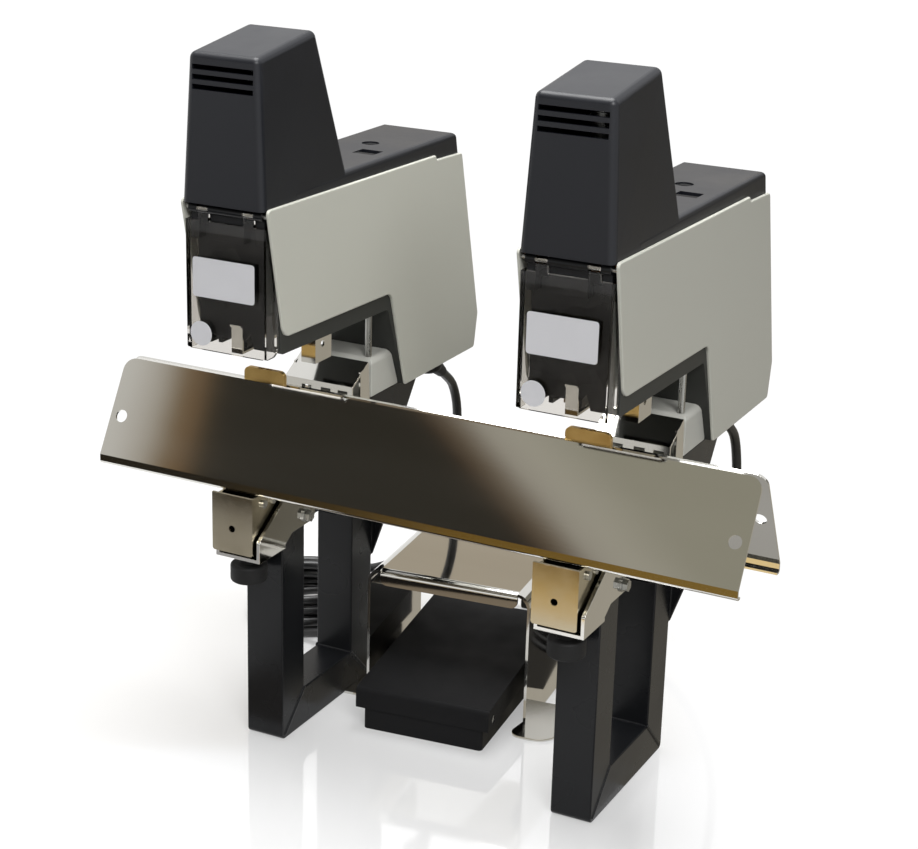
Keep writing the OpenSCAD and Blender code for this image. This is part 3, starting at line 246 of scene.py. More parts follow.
def finish_of(name, dark, light, patch_mm, rough, grain_mm, depth_mm, metallic=0.0, specular=0.5,
              stretch=(1, 1, 1)):
    """A finish with two tones in soft patches, gloss that varies with them, and a fine grain.

    rough gives the least and the most roughness, depth_mm the height of the grain, and stretch below 1 draws
    the pattern out along an axis.
    """
    known = bpy.data.materials.get(name)
    if known:
        return known
    made = empty_material(name)
    tree = made.node_tree
    place = add(tree, "ShaderNodeTexCoord").outputs["Object"]
    drawn = add(tree, "ShaderNodeMapping", {"Vector": place, "Scale": stretch}).outputs["Vector"]
    patch = add(tree, "ShaderNodeTexNoise", {"Vector": drawn, "Scale": per_mm(patch_mm), "Detail": 3.0})
    tone = add(tree, "ShaderNodeMix", {
        "Factor": patch.outputs["Fac"], "A": dark, "B": light}, data_type="RGBA")
    gloss = add(tree, "ShaderNodeMapRange", {
        "Value": patch.outputs["Fac"], "From Min": 0.3, "From Max": 0.7,
        "To Min": rough[0], "To Max": rough[1]})
    grain = add(tree, "ShaderNodeTexNoise", {"Vector": drawn, "Scale": per_mm(grain_mm), "Detail": 2.0})
    relief = add(tree, "ShaderNodeBump", {
        "Height": grain.outputs["Fac"], "Strength": 1.0, "Distance": depth_mm * MM})
    shader = add(tree, "ShaderNodeBsdfPrincipled", {
        "Base Color": tone.outputs["Result"], "Roughness": gloss.outputs["Result"], "Metallic": metallic,
        "Specular IOR Level": specular, "Normal": relief.outputs["Normal"]})
    add(tree, "ShaderNodeOutputMaterial", {"Surface": shader.outputs["BSDF"]})
    return made


def scaled(colour, factor):
    """A linear colour made darker or paler, with full cover."""
    return [min(1.0, c * factor) for c in colour] + [1.0]


def charcoal_abs():
    """Moulded ABS with a spark-eroded grain: a dull dark grey that turns paler where light grazes it."""
    base = list(colours().cover)
    return finish_of("Charcoal ABS moulding", scaled(base, 0.86), scaled(base, 1.16), patch_mm=45,
                     rough=(0.32, 0.42), grain_mm=0.9, depth_mm=0.03, specular=0.38)


def black_moulding():
    """Black ABS of the pedal and knobs: nearly black with a soft wide highlight."""
    return finish_of("Black ABS moulding", rgba("#121213"), rgba("#19191A"), patch_mm=30,
                     rough=(0.5, 0.66), grain_mm=1.1, depth_mm=0.06, specular=0.1)


def grey_enamel():
    """Stoved grey paint on steel sheet: even, slightly warm, with a faint orange peel."""
    base = list(colours().panel)
    return finish_of("Grey stoved enamel", scaled(base, 0.97), scaled(base, 1.03), patch_mm=120,
                     rough=(0.36, 0.44), grain_mm=2.6, depth_mm=0.012)


def grey_moulding():
    """Light grey ABS of the arm covers: paler and duller than the painted sheet."""
    return finish_of("Grey ABS moulding", rgba("#BBBBB4"), rgba("#C7C7C0"), patch_mm=40,
                     rough=(0.4, 0.5), grain_mm=1.0, depth_mm=0.03)


def black_enamel():
    """Satin black paint on welded tube: deep black with clear soft highlights and a light orange peel."""
    base = list(colours().legs)
    return finish_of("Black stoved enamel", scaled(base, 0.8), scaled(base, 1.3), patch_mm=60,
                     rough=(0.22, 0.34), grain_mm=3.0, depth_mm=0.02, specular=0.22)


def chassis_paint():
    """Dark grey powder coat on the chassis: dull, a little paler than the black of the legs."""
    return finish_of("Dark grey powder coat", rgba("#2B2C2A"), rgba("#353633"), patch_mm=50,
                     rough=(0.5, 0.6), grain_mm=1.2, depth_mm=0.03, specular=0.3)


def bright_chrome():
    """Chrome plate on rolled sheet: mirror-like, with faint rolling lines and a few dull wipes."""
    return finish_of("Chrome plate", rgba("#CBC9C3"), rgba("#DEDDD9"), patch_mm=70,
                     rough=(0.04, 0.1), grain_mm=1.4, depth_mm=0.0012, metallic=1.0, stretch=(0.12, 1, 1))


def yellow_passivate():
    """Yellow passivated zinc: a soft metal that drifts between straw and grey and mirrors what is below it."""
    return finish_of("Yellow passivated zinc", rgba("#A1977F"), rgba("#CBC3AE"), patch_mm=26,
                     rough=(0.1, 0.2), grain_mm=1.0, depth_mm=0.004, metallic=1.0)


def dull_brass():
    """Worn brass-coloured plate on the anvils: golden, rubbed to a soft sheen."""
    return finish_of("Rubbed brass plate", rgba("#B08E4E"), rgba("#D2B478"), patch_mm=14,
                     rough=(0.34, 0.46), grain_mm=0.8, depth_mm=0.006, metallic=1.0)


def plain_steel():
    """Bright turned steel: grey metal with fine marks."""
    return finish_of("Bright steel", rgba("#8F8F8C"), rgba("#B4B4B0"), patch_mm=12,
                     rough=(0.22, 0.36), grain_mm=0.5, depth_mm=0.004, metallic=1.0)


def black_rubber():
    """Vulcanised rubber: almost black and dull, a little dusty in patches."""
    return finish_of("Black rubber", rgba("#0D0D0E"), rgba("#1C1C1C"), patch_mm=14,
                     rough=(0.55, 0.72), grain_mm=0.8, depth_mm=0.02, specular=0.25)


def cord_sheath():
    """Extruded PVC sheath: black with a soft waxy highlight along its length."""
    return finish_of("PVC cord sheath", rgba("#0E0E0F"), rgba("#171718"), patch_mm=20,
                     rough=(0.36, 0.46), grain_mm=0.6, depth_mm=0.006)


def printed_blank():
    """Matt white film: plain and slightly warm, a little uneven where it is stuck down."""
    base = list(colours().plate)
    return finish_of("Matt white film", scaled(base, 0.96), scaled(base, 1.02), patch_mm=18,
                     rough=(0.5, 0.6), grain_mm=1.6, depth_mm=0.004)


def clear_acrylic():
    """Bent clear acrylic sheet: water-clear with a sharp gloss and faint wipe marks."""
    name = "Clear acrylic"
    known = bpy.data.materials.get(name)
    if known:
        return known
    made = empty_material(name)
    tree = made.node_tree
    place = add(tree, "ShaderNodeTexCoord").outputs["Object"]
    wipes = add(tree, "ShaderNodeTexNoise", {"Vector": place, "Scale": per_mm(16), "Detail": 4.0})
    haze = add(tree, "ShaderNodeMapRange", {
        "Value": wipes.outputs["Fac"], "From Min": 0.35, "From Max": 0.75, "To Min": 0.0, "To Max": 0.04})
    shader = add(tree, "ShaderNodeBsdfPrincipled", {
        "Base Color": rgba("#D9D6D1"), "Roughness": haze.outputs["Result"], "IOR": 1.3,
        "Transmission Weight": 1.0})
    add(tree, "ShaderNodeOutputMaterial", {"Surface": shader.outputs["BSDF"]})
    return made


def copper_winding():
    """Enamelled copper wire wound in close turns: warm brown bands, darker in the grooves between turns as
    painted shade and paler on the crests as painted highlight.
    """
    name = "Enamelled copper winding"
    known = bpy.data.materials.get(name)
    if known:
        return known
    made = empty_material(name)
    tree = made.node_tree
    place = add(tree, "ShaderNodeTexCoord").outputs["Object"]
    turns = add(tree, "ShaderNodeTexWave", {"Vector": place, "Scale": per_mm(1.2) / 20, "Distortion": 0.2},
                bands_direction="Z")
    relief = add(tree, "ShaderNodeBump", {
        "Height": turns.outputs["Fac"], "Strength": 1.0, "Distance": 0.2 * MM})
    # painted shade and highlight: the colour follows the relief, dark in the grooves and pale on the crests
    tone = add(tree, "ShaderNodeValToRGB", {"Fac": turns.outputs["Fac"]})
    tone.color_ramp.elements[0].color = rgba("#4A2412")
    tone.color_ramp.elements[1].color = rgba("#A3622F")
    shader = add(tree, "ShaderNodeBsdfPrincipled", {
        "Base Color": tone.outputs["Color"], "Roughness": 0.3, "Metallic": 0.7,
        "Normal": relief.outputs["Normal"]})
    add(tree, "ShaderNodeOutputMaterial", {"Surface": shader.outputs["BSDF"]})
    return made


# Modelling helpers

def only(piece):
    """Makes a piece the one selected and active object."""
    bpy.ops.object.select_all(action="DESELECT")
    piece.select_set(True)
    bpy.context.view_layer.objects.active = piece


def dress(piece, material):
    """Gives a piece one finish all over."""
    piece.data.materials.clear()
    piece.data.materials.append(material)


def settle(piece, name, material, body):
    """Names a new piece, gives it its finish and makes it ride on a body."""
    piece.name = name
    piece.data.name = name
    dress(piece, material)
    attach(piece, body)
    return piece


def apply_modifier(piece, kind, **settings):
    """Adds a modifier with its settings and applies it to the mesh."""
    only(piece)
    made = piece.modifiers.new(kind.title(), kind)
    for field, value in settings.items():
        setattr(made, field, value)
    bpy.ops.object.modifier_apply(modifier=made.name)


def merged(node):
    """A copy of a CAD node with its loose triangles joined into faces."""
    piece = bpy.data.objects.new(node + "_finished", NODES[node].data.copy())
    bpy.context.scene.collection.objects.link(piece)
    only(piece)
    bpy.ops.object.mode_set(mode="EDIT")
    bpy.ops.mesh.select_all(action="SELECT")
    bpy.ops.mesh.remove_doubles(threshold=WELD_GAP)
    bpy.ops.mesh.dissolve_limited(angle_limit=math.radians(FLATTEN))
    bpy.ops.object.mode_set(mode="OBJECT")
    return piece


def stand_in(piece, node, material):
    """Lets a finished copy stand for its CAD node."""
    settle(piece, node + "_finished", material, BODY_OF[node])
    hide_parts(node)
    return piece


def softened(node, material, width_mm, segments=3, limit=28, where=None, fold_mm=0):
    """A copy of a CAD node with its sharp edges broken, standing in for it.

    where() picks the only edges to break, or those of a fold where that has a radius of its own.
    """
    piece = merged(node)
    if where:
        weights = piece.data.attributes.new("bevel_weight_edge", "FLOAT", "EDGE")
        for edge in piece.data.edges:
            picked = all(where(piece.data.vertices[v].co) for v in edge.vertices)
            weights.data[edge.index].value = float(picked)
        apply_modifier(piece, "BEVEL", width=(fold_mm or width_mm) * MM, segments=segments,
                       limit_method="WEIGHT", use_clamp_overlap=True)
    if fold_mm or not where:
        apply_modifier(piece, "BEVEL", width=width_mm * MM, segments=segments, limit_method="ANGLE",
                       angle_limit=math.radians(limit), use_clamp_overlap=True)
    only(piece)
    bpy.ops.object.shade_smooth_by_angle(angle=math.radians(SMOOTH_EDGE))
    flats = [face.normal.copy() for face in piece.data.polygons if face.area > FLAT_AREA]
    for face in piece.data.polygons:
        if any(face.normal.dot(flat) > LEVEL for flat in flats):
            face.use_smooth = False
    apply_modifier(piece, "WEIGHTED_NORMAL", keep_sharp=True, weight=100)
    return stand_in(piece, node, material)


def both(bare):
    """The left and the right unit's node of that name."""
    return ["left_" + bare, "right_" + bare]


# Cord routes, the same points as the solids', in millimetres from a unit's middle and the saddle's ridge

RELIEF_TILT = 35
RELIEF_END = (0, 261.333, 207.087)
FLOOR_Z = 4.6
DROPS = {
    "left": [(0, 281.6, 191), (0.5, 289.5, 173), (0.5, 292, 151), (0, 291, 129), (-1, 287, 107),
             (-4, 279, 86), (-10, 268, 66), (-20, 255.5, 50), (-34, 245, 38), (-52, 239, 31.2)],
    "right": [(0, 281.6, 191), (0, 290.5, 173), (0, 295.5, 149), (-2, 299, 124), (-8, 302, 100),
              (-18, 304, 78), (-31, 305.3, 59), (-46, 305.8, 44.5), (-60, 305.7, 35.5), (-69, 305.6, 31.4)],
}
COILS = {"left": (-85, 193, 6.5), "right": (-93, 262, 6)}
COIL_LAYERS = 4
COIL_CLIMB = 0.5
COIL_INNER = 33.0
COIL_PITCH = 9.3
COIL_LAYER = 8.3
COIL_LEAD = 52.0
LEAD_FLAT = 14.0
LEAD_RISE = 5.4
COIL_STEPS = 48


def unit_shift(side):
    """Place of a unit's middle and the saddle's ridge in the shared frame."""
    return Vector((SIDES[side] * sizes().head_spacing / 2, -sizes().mid_depth, 0))


def coil_run(side):
    """Turns in one layer of a coil."""
    return (COILS[side][2] - COIL_CLIMB * (COIL_LAYERS - 1)) / COIL_LAYERS


def coil_at(side, turn):
    """Point of the coil after so many turns: it spirals in and out and drops a layer where it reverses."""
    x, y = COILS[side][:2]
    run = coil_run(side)
    level = min(int(turn / (run + COIL_CLIMB)), COIL_LAYERS - 1)
    along = turn - level * (run + COIL_CLIMB)
    spread = min(along, run)
    radius = COIL_INNER + COIL_PITCH * (run - spread if level % 2 == 0 else spread)
    fall = (1 - math.cos(math.pi * (along - run) / COIL_CLIMB)) / 2 if along > run else 0.0
    angle = 2 * math.pi * turn
    return Vector((x - radius * math.sin(angle), y + radius * math.cos(angle),
                   FLOOR_Z + COIL_LAYER * (COIL_LAYERS - 1 - level - fall)))


def spline(points, steps):
    """Catmull-Rom curve through the points."""
    made = []
    last = len(points) - 1
    for i in range(last):
        p0, p1 = points[max(i - 1, 0)], points[i]
        p2, p3 = points[i + 1], points[min(i + 2, last)]
        for k in range(steps):
            t = k / steps
            made.append(0.5 * (2 * p1 + (p2 - p0) * t + (2 * p0 - 5 * p1 + 4 * p2 - p3) * t ** 2
                               + (3 * p1 - p0 - 3 * p2 + p3) * t ** 3))
    return made + [points[last]]


def cord_route(side):
    """The cord in metres: out of the strain relief, down to the top of the coil and round to the plug."""
    turns = COILS[side][2]
    tilt = math.radians(RELIEF_TILT)
    leaving = Vector(RELIEF_END)
    ahead = Vector((0, math.cos(tilt), -math.sin(tilt)))
    square = Vector((CORD_D, 0, 0))
    start = coil_at(side, 0) + square
    drop = [Vector(p) for p in DROPS[side]]
    route = spline([leaving, leaving + 8 * ahead] + drop + [start + square, start], 3)
    route += [coil_at(side, i / COIL_STEPS) for i in range(int(turns * COIL_STEPS) + 1)]
    way = Vector((-math.cos(2 * math.pi * turns), 0, 0))
    last = route[-1]
    for i in range(5):
        ahead = way * (LEAD_FLAT + i / 4 * (COIL_LEAD - CORD_D - LEAD_FLAT))
        route.append(last + ahead + Vector((0, 0, LEAD_RISE * (1 - math.cos(math.pi * i / 4)) / 2)))
    route.append(route[-1] + way * CORD_D)
    return [p * MM + unit_shift(side) for p in route]


class STAPLER_OT_stage(bpy.types.Operator):
    """Floor, backdrop light, lamps and the camera at the photographed angle"""
    bl_idname = "stapler.stage"
    bl_label = "Stage"

    def execute(self, context):
        scene = context.scene
        scene.view_settings.view_transform = "Standard"
        self.camera(scene)
        self.world(scene)
        self.floor()
        self.cards()
        self.lamps(scene)
        return {"FINISHED"}

    def camera(self, scene):
        azimuth, elevation, roll = (math.radians(a) for a in CAMERA_TURN)
        back = Vector((math.sin(azimuth) * math.cos(elevation), -math.cos(azimuth) * math.cos(elevation),
                       math.sin(elevation)))
        right = Vector((math.cos(azimuth), math.sin(azimuth), 0))
        up = back.cross(right)
        side = math.cos(roll) * right + math.sin(roll) * up
        rise = -math.sin(roll) * right + math.cos(roll) * up
        made = bpy.data.cameras.new("Camera")
        made.sensor_width = SENSOR_W
        made.sensor_fit = "HORIZONTAL"
        made.lens = FOCAL_PX * SENSOR_W / IMAGE_W
        made.shift_x = (IMAGE_W / 2 - CENTRE_PX[0]) / IMAGE_W
        made.shift_y = (CENTRE_PX[1] - IMAGE_H / 2) / IMAGE_W
        made.clip_end = FAR_CLIP
        camera = bpy.data.objects.new("Camera", made)
        scene.collection.objects.link(camera)
        turn = Matrix((side, rise, back)).transposed().to_4x4()
        camera.matrix_world = Matrix.Translation(CAMERA_PLACE) @ turn
        scene.camera = camera

    def world(self, scene):
        world = bpy.data.worlds.new("White room")
        world.use_nodes = True
        tree = world.node_tree
        tree.nodes.clear()
        soft = add(tree, "ShaderNodeBackground", {"Color": rgba("#FFFFFF"), "Strength": SKY})
        white = add(tree, "ShaderNodeBackground", {"Color": rgba("#FFFFFF"), "Strength": 1.0})
        mixed = add(tree, "ShaderNodeMixShader", {
            0: in_sight(tree), 1: soft.outputs["Background"], 2: white.outputs["Background"]})
        add(tree, "ShaderNodeOutputWorld", {"Surface": mixed.outputs["Shader"]})
        scene.world = world

    def floor(self):
        bpy.ops.object.select_all(action="DESELECT")
        bpy.ops.mesh.primitive_circle_add(vertices=96, radius=FLOOR_R, fill_type="NGON",
                                          location=(0, 0, -FLOOR_GAP))
        floor = bpy.context.object
        floor.name = "Floor"
        made = empty_material("White studio floor")
        tree = made.node_tree
        place = add(tree, "ShaderNodeTexCoord").outputs["Object"]
        away = add(tree, "ShaderNodeVectorMath", {0: place}, operation="LENGTH")
        fade = add(tree, "ShaderNodeMapRange", {
            "Value": away.outputs["Value"], "From Min": FADE_FROM, "From Max": FADE_TO,
            "To Min": FLOOR_WHITE})
        # painted light: plain white glow on one side of the floor, hiding the shadow and reflections there
        aside = add(tree, "ShaderNodeVectorMath", {0: place, 1: LIT_SIDE}, operation="DOT_PRODUCT")
        lit_side = add(tree, "ShaderNodeMapRange", {
            "Value": aside.outputs["Value"], "From Min": LIT_FROM, "From Max": LIT_TO,
            "To Min": FLOOR_WHITE})
        pale = add(tree, "ShaderNodeMath", {0: fade.outputs["Result"], 1: lit_side.outputs["Result"]},
                   operation="MAXIMUM")
        lit = add(tree, "ShaderNodeBsdfPrincipled", {
            "Base Color": rgba("#DEDEDE"), "Roughness": 0.06, "IOR": 3.2})
        white = add(tree, "ShaderNodeMath", {0: in_sight(tree), 1: FLOOR_GLOW}, operation="MULTIPLY")
        glow = add(tree, "ShaderNodeEmission", {"Color": rgba("#FFFFFF"), "Strength": white.outputs[0]})
        lift = add(tree, "ShaderNodeMixShader", {
            0: pale.outputs[0], 1: lit.outputs["BSDF"], 2: glow.outputs["Emission"]})
        add(tree, "ShaderNodeOutputMaterial", {"Surface": lift.outputs["Shader"]})
        floor.data.materials.append(made)

    def cards(self):
        """Screens that only mirrors see, painted reflections: one up behind the camera, some on the floor and
        two at the back.
        """
        # painted reflection: the screen's ramps set the dark and pale bands mirrored in the chrome saddle
        high = self.card("Toned_screen", (-0.62, -1.25, 1.0), (0.42, 0.73, -0.55), (1.5, 0.9))
        tree = high.node_tree
        place = add(tree, "ShaderNodeTexCoord").outputs["Object"]
        part = add(tree, "ShaderNodeSeparateXYZ", {"Vector": place})
        drift = add(tree, "ShaderNodeTexNoise", {"Vector": place, "Scale": DRIFT_SCALE, "Detail": 2.0})
        across = add(tree, "ShaderNodeMath", {0: drift.outputs["Fac"], 1: DRIFT, 2: part.outputs["X"]},
                     operation="MULTIPLY_ADD")
        steep = add(tree, "ShaderNodeMath", {0: part.outputs["Y"], 1: NEAR_SLANT, 2: across.outputs[0]},
                    operation="MULTIPLY_ADD")
        near = add(tree, "ShaderNodeValToRGB", {"Fac": steep.outputs[0]})
        self.ramp(near, NEAR_TONES)
        slant = add(tree, "ShaderNodeMath", {0: part.outputs["Y"], 1: FAR_SLANT, 2: across.outputs[0]},
                    operation="MULTIPLY_ADD")
        shift = add(tree, "ShaderNodeMath", {0: slant.outputs[0], 1: 0.5}, operation="ADD")
        far = add(tree, "ShaderNodeValToRGB", {"Fac": shift.outputs[0]})
        self.ramp(far, FAR_TONES)
        foot = add(tree, "ShaderNodeMapRange", {
            "Value": part.outputs["Y"], "From Min": FOOT_FROM, "From Max": FOOT_TO})
        base = add(tree, "ShaderNodeValToRGB", {"Fac": foot.outputs["Result"]})
        self.ramp(base, FOOT_TONES)
        tone = add(tree, "ShaderNodeMixRGB", {0: 1.0, 1: near.outputs["Color"], 2: far.outputs["Color"]},
                   blend_type="LIGHTEN")
        tone = add(tree, "ShaderNodeMixRGB", {0: 1.0, 1: tone.outputs["Color"], 2: base.outputs["Color"]},
                   blend_type="LIGHTEN")
        self.shine(tree, tone.outputs["Color"])
        # painted reflection: a brown glowing card on the floor in front, mirrored by the carriers, channels
        # and hood
        low = self.card("Brown_floor", (-0.55, -1.0, 0.001), UP, (1.7, 0.9))
        tree = low.node_tree
        place = add(tree, "ShaderNodeTexCoord").outputs["Object"]
        part = add(tree, "ShaderNodeSeparateXYZ", {"Vector": place})
        middle = add(tree, "ShaderNodeMath", {0: part.outputs["X"], 1: 0.5}, operation="ADD")
        tone = add(tree, "ShaderNodeValToRGB", {"Fac": middle.outputs[0]})
        self.ramp(tone, BROWN_TONES)
        self.shine(tree, tone.outputs["Color"])
        # painted reflections: plain glowing cards in dark, grey and tan
        for name, place, facing, size, colour in PLAIN_SCREENS:
            self.shine(self.card(name, place, facing, size).node_tree, rgba(colour))

    def card(self, name, place, facing, size):
        bpy.ops.object.select_all(action="DESELECT")
        bpy.ops.mesh.primitive_plane_add(size=1.0)
        card = bpy.context.object
        card.name = name
        turn = Vector(facing).to_track_quat("Z", "Y").to_matrix().to_4x4()
        card.matrix_world = Matrix.Translation(place) @ turn @ Matrix.Diagonal((*size, 1.0, 1.0))
        card.visible_camera = False
        card.visible_diffuse = False
        card.visible_shadow = False
        card.visible_transmission = False
        card.data.materials.append(empty_material(name + " cloth"))
        return card.data.materials[0]

    def ramp(self, node, stops):
        """Colours of a ramp, from its first stop to its last."""
        elements = node.color_ramp.elements
        for element, (position, colour) in zip(elements, (stops[0], stops[-1])):
            element.position = position
            element.color = rgba(colour)
        for position, colour in stops[1:-1]:
            elements.new(position).color = rgba(colour)

    def shine(self, tree, colour):
        """Even glow on the front of a screen, nothing on its back: glow that mirrors show as a painted
        reflection, not a lamp.
        """
        glow = add(tree, "ShaderNodeEmission", {"Color": colour, "Strength": 1.0})
        clear = add(tree, "ShaderNodeBsdfTransparent")
        behind = add(tree, "ShaderNodeNewGeometry").outputs["Backfacing"]
        sided = add(tree, "ShaderNodeMixShader", {
            0: behind, 1: glow.outputs["Emission"], 2: clear.outputs["BSDF"]})
        add(tree, "ShaderNodeOutputMaterial", {"Surface": sided.outputs["Shader"]})

    def lamps(self, scene):
        for name, place, aim, size, power in LAMPS:
            lamp = bpy.data.lights.new(name, "AREA")
            lamp.shape = "DISK"
            lamp.size = size
            lamp.energy = power
            lamp.color = linear("#FFFFFF")
            held = bpy.data.objects.new(name, lamp)
            scene.collection.objects.link(held)
            held.location = place
            held.rotation_euler = (Vector(aim) - Vector(place)).to_track_quat("-Z", "Y").to_euler()


class STAPLER_OT_cords(bpy.types.Operator):
    """Mains cords with their coils, plugs and glands"""
    bl_idname = "stapler.cords"
    bl_label = "Cords"

    def execute(self, context):
        for side in SIDES:
            route = cord_route(side)
            line = bpy.data.curves.new(side + "_mains_cord", "CURVE")
            line.dimensions = "3D"
            line.bevel_depth = sizes().cord_diameter / 2
            line.bevel_resolution = 4
            line.use_fill_caps = True
            run = line.splines.new("POLY")
            run.points.add(len(route) - 1)
            for point, place in zip(run.points, route):
                point.co = (*place, 1.0)
            run.use_smooth = True
            cord = bpy.data.objects.new(side + "_mains_cord", line)
            context.scene.collection.objects.link(cord)
            settle(cord, side + "_mains_cord", cord_sheath(), "stand")
            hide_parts(side + "_cord", side + "_cord_coil")
            plug = self.plug(side)
            softened(side + "_cord_gland", black_rubber(), 0.5)
            self.tie(side)
        return {"FINISHED"}

    def plug(self, side):
        """Moulded plug body with bright pins."""
        piece = softened(side + "_plug", black_rubber(), 1.2, 3)
        piece.data.materials.append(plain_steel())
        low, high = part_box(side + "_plug")
        tip = high[0] if side == "left" else low[0]
        for face in piece.data.polygons:
            if all(abs(piece.data.vertices[v].co.x - tip) < PIN_LEN * MM for v in face.vertices):
                face.material_index = 1
        return piece

    def tie(self, side):
        """Strap that holds the loops of a coil together."""
        x, y = COILS[side][:2]
        inner = COIL_INNER - CORD_D / 2
        outer = COIL_INNER + COIL_PITCH * coil_run(side) + CORD_D / 2
        over = FLOOR_Z + COIL_LAYER * (COIL_LAYERS - 1) + CORD_D / 2 + TIE_PLAY
        bpy.ops.object.select_all(action="DESELECT")
        bpy.ops.mesh.primitive_cylinder_add(
            vertices=4, radius=math.sqrt(0.5), depth=TIE_W * MM, end_fill_type="NOTHING")
        strap = bpy.context.object
        strap.rotation_euler = (0, 0, math.radians(45))
        bpy.ops.object.transform_apply(location=True, rotation=True, scale=True)
        strap.scale = ((outer - inner + 2 * TIE_PLAY) * MM, (over - TIE_LOW) * MM, 1)
        strap.rotation_euler = (math.radians(90), 0, 0)
        strap.location = Vector((x - (inner + outer) / 2, y, (over + TIE_LOW) / 2)) * MM + unit_shift(side)
        bpy.ops.object.transform_apply(location=True, rotation=True, scale=True)
        apply_modifier(strap, "BEVEL", width=TIE_R * MM, segments=5, limit_method="ANGLE")
        apply_modifier(strap, "SOLIDIFY", thickness=TIE_T * MM, offset=-1)
        only(strap)
        bpy.ops.object.shade_smooth_by_angle(angle=math.radians(32))
        return settle(strap, side + "_cord_tie", black_rubber(), "stand")


class STAPLER_OT_stand(bpy.types.Operator):
    """Welded leg frames, lower arms, base channels, carriers and feet"""
    bl_idname = "stapler.stand"
    bl_label = "Stand"

    def execute(self, context):
        for node in both("leg_frame"):
            softened(node, black_enamel(), 1.2, 3)
        for node in both("lower_arm"):
            softened(node, black_enamel(), 0.8)
        for node in both("base_channel"):
            softened(node, bright_chrome(), 0.5)
        for node in both("saddle_carrier"):
            softened(node, yellow_passivate(), 0.4)
        for node in both("anvil"):
            softened(node, dull_brass(), 0.5)
        softened("rubber_feet", black_rubber(), 0.6)
        softened("bolts", plain_steel(), 0.4)
        softened("throat_rods", plain_steel(), 0.3)
        for side in SIDES:
            self.welds(side)
        return {"FINISHED"}

    def welds(self, side):
        """Rippled beads along the mitres at the lower corners of a leg frame, on both faces."""
        radius = sizes().weld_radius
        tube = TUBE_W * MM
        step = (TUBE_W - BEAD_INSET) * MM / BEADS
        beads = []
        for corner, inwards in ((LEG_FRONT * MM, 1), (LEG_REAR * MM, -1)):
            for face in (-1, 1):
                bpy.ops.object.select_all(action="DESELECT")
                bpy.ops.mesh.primitive_uv_sphere_add(segments=10, ring_count=6, radius=radius)
                bead = bpy.context.object
                bead.scale = (BEAD_FLAT, 1, 1)
                bead.location = unit_shift(side) + Vector((face * tube / 2, corner + inwards * tube, tube))
                bpy.ops.object.transform_apply(location=True, rotation=True, scale=True)
                apply_modifier(bead, "ARRAY", count=BEADS, use_relative_offset=False,
                               use_constant_offset=True, constant_offset_displace=(0, -inwards * step, -step))
                beads.append(bead)
        only(beads[0])
        for bead in beads[1:]:
            bead.select_set(True)
        bpy.ops.object.join()
        bpy.ops.object.shade_smooth()
        settle(beads[0], side + "_leg_welds", black_enamel(), "stand")


class STAPLER_OT_saddle(bpy.types.Operator):
    """The two folded saddle plates"""
    bl_idname = "stapler.saddle"
    bl_label = "Saddle"

    def execute(self, context):
        for node, end in (("saddle_front_plate", 0), ("saddle_rear_plate", 1)):
            foot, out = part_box(node)[0][2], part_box(node)[end][1]
            softened(node, bright_chrome(), 0.5, 5, fold_mm=2.2, where=lambda p: (
                abs(p.z - foot) < ON_FACE and abs(p.y - out) < ON_FACE))
        return {"FINISHED"}


class STAPLER_OT_heads(bpy.types.Operator):
    """Chassis, side panels, moulded covers and head housings"""
    bl_idname = "stapler.heads"
    bl_label = "Heads"

    def execute(self, context):
        for node in both("body_frame"):
            softened(node, chassis_paint(), 0.4)
        for node in both("unit_left_panel") + both("unit_right_panel"):
            low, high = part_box(node)
            outside = high[0] if "right_panel" in node else low[0]
            softened(node, grey_enamel(), 1.9, 5, where=lambda p: abs(p.x - outside) < ON_FACE)
        for node in both("top_cover"):
            softened(node, charcoal_abs(), 0.7, 2, 40)
        for node in both("head_housing"):
            softened(node, black_enamel(), 0.4)
        for node in both("arm_cover"):
            softened(node, grey_moulding(), 0.6)
        for node in both("rear_guide"):
            softened(node, bright_chrome(), 0.3)
        for node in both("power_switch") + both("force_dial"):
            softened(node, black_moulding(), 0.3)
        return {"FINISHED"}


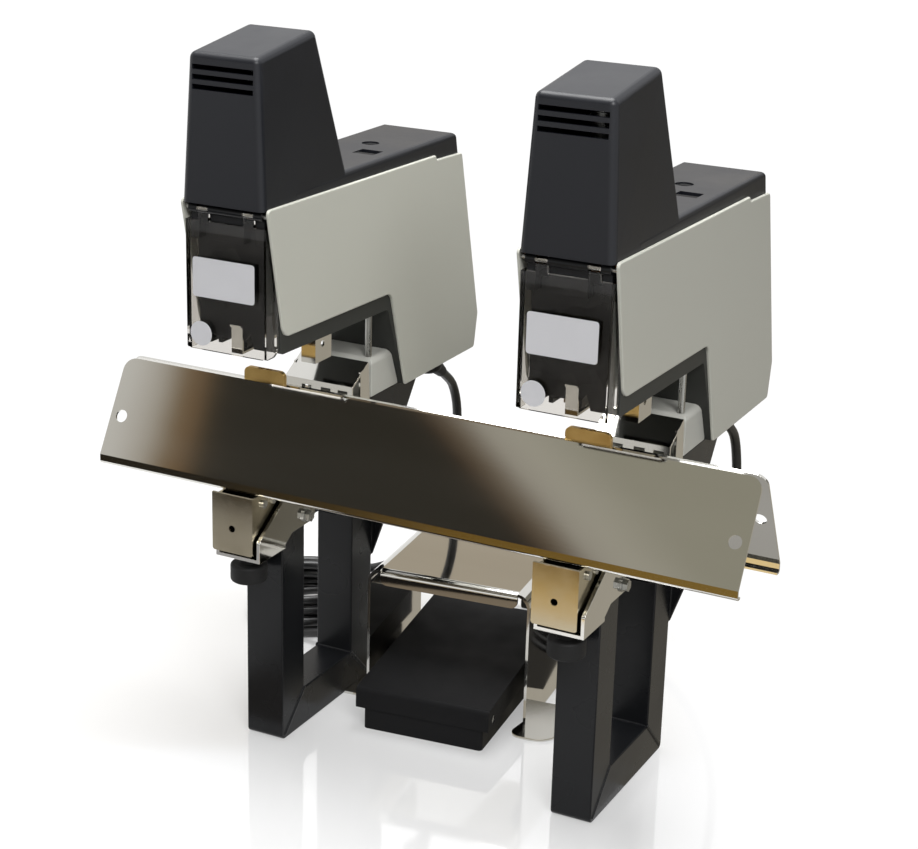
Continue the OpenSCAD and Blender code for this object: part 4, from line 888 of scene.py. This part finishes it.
class STAPLER_OT_guards(bpy.types.Operator):
    """Clear finger guards with their hinge rods and blank plates"""
    bl_idname = "stapler.guards"
    bl_label = "Guards"

    def execute(self, context):
        for side in SIDES:
            softened(side + "_finger_guard", clear_acrylic(), 0.4)
            softened(side + "_hinge_rod", plain_steel(), 0.2)
            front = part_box(side + "_finger_guard")[0][1]
            middle = unit_shift(side).x
            self.plate(side, middle, front)
            self.disc(side, middle, front)
        return {"FINISHED"}

    def plate(self, side, middle, front):
        """Blank rounded plate stuck on the guard's front."""
        bpy.ops.object.select_all(action="DESELECT")
        bpy.ops.mesh.primitive_plane_add(size=1.0)
        plate = bpy.context.object
        plate.scale = (sizes().plate_width, sizes().plate_height, 1)
        plate.rotation_euler = (math.radians(90), 0, 0)
        plate.location = (middle + PLATE_X * MM, front - PLATE_PROUD * MM, PLATE_Z * MM)
        bpy.ops.object.transform_apply(location=True, rotation=True, scale=True)
        bpy.ops.object.mode_set(mode="EDIT")
        bpy.ops.mesh.select_all(action="SELECT")
        bpy.ops.mesh.bevel(offset=PLATE_R * MM, segments=5, affect="VERTICES")
        bpy.ops.object.mode_set(mode="OBJECT")
        apply_modifier(plate, "SOLIDIFY", thickness=PLATE_T * MM, offset=-1)
        settle(plate, side + "_guard_plate", printed_blank(), side + "_guard")

    def disc(self, side, middle, front):
        """Blank round film below the plate."""
        bpy.ops.object.select_all(action="DESELECT")
        bpy.ops.mesh.primitive_cylinder_add(vertices=48, radius=DISC_R * MM, depth=DISC_T * MM)
        disc = bpy.context.object
        disc.rotation_euler = (math.radians(90), 0, 0)
        disc.location = (middle + DISC_X * MM, front - DISC_PROUD * MM, DISC_Z * MM)
        bpy.ops.object.transform_apply(location=True, rotation=True, scale=True)
        apply_modifier(disc, "BEVEL", width=DISC_EDGE * MM, segments=2, limit_method="ANGLE")
        settle(disc, side + "_guard_disc", printed_blank(), side + "_guard")


class STAPLER_OT_mechanism(bpy.types.Operator):
    """Solenoids, drivers, springs, magazines and pushers inside the heads"""
    bl_idname = "stapler.mechanism"
    bl_label = "Mechanism"

    def execute(self, context):
        for node in both("solenoid"):
            dress(NODES[node], copper_winding())
        for node in both("driver") + both("staple_pusher") + ["pedal_pin"]:
            dress(NODES[node], plain_steel())
        for node in both("magazine"):
            softened(node, bright_chrome(), 0.3)
        for side in SIDES:
            self.spring(side + "_return_spring", side + "_driver_stroke", DRIVER_TRAVEL)
        self.spring("pedal_spring", "treadle_press", TREADLE_TRAVEL)
        return {"FINISHED"}

    def spring(self, node, joint, travel_mm):
        """Wound spring: a smoothed copy that stands in for its CAD node."""
        piece = merged(node)
        only(piece)
        bpy.ops.object.shade_smooth_by_angle(angle=math.radians(SMOOTH_WIRE))
        stand_in(piece, node, plain_steel())
        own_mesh(piece)


class STAPLER_OT_pedal(bpy.types.Operator):
    """Foot pedal: base, treadle and chrome hood"""
    bl_idname = "stapler.pedal"
    bl_label = "Pedal"

    def execute(self, context):
        softened("pedal_base", black_moulding(), 0.8)
        softened("pedal_treadle", black_moulding(), 1.4, 3)
        softened("pedal_hood", bright_chrome(), 0.5)
        return {"FINISHED"}


class STAPLER_PT_panel(bpy.types.Panel):
    """Steps that finish the stapler"""
    bl_label = "Stapler"
    bl_idname = "STAPLER_PT_panel"
    bl_space_type = "VIEW_3D"
    bl_region_type = "UI"
    bl_category = "Stapler"

    def draw(self, context):
        for step in STEPS:
            self.layout.operator(step.bl_idname)
        for group in (context.scene.stapler_sizes, context.scene.stapler_colours):
            for field in group.__annotations__:
                self.layout.prop(group, field)


STEPS = (STAPLER_OT_stage, STAPLER_OT_cords, STAPLER_OT_stand, STAPLER_OT_saddle, STAPLER_OT_heads,
         STAPLER_OT_guards, STAPLER_OT_mechanism, STAPLER_OT_pedal)
CLASSES = (StaplerSizes, StaplerColours) + STEPS + (STAPLER_PT_panel,)


def register():
    for made in CLASSES:
        bpy.utils.register_class(made)
    bpy.types.Scene.stapler_sizes = bpy.props.PointerProperty(type=StaplerSizes)
    bpy.types.Scene.stapler_colours = bpy.props.PointerProperty(type=StaplerColours)


def unregister():
    del bpy.types.Scene.stapler_colours
    del bpy.types.Scene.stapler_sizes
    for made in reversed(CLASSES):
        bpy.utils.unregister_class(made)


def main():
    register()
    for step in STEPS:
        group, name = step.bl_idname.split(".")
        getattr(getattr(bpy.ops, group), name)()


if __name__ == "__main__":
    main()
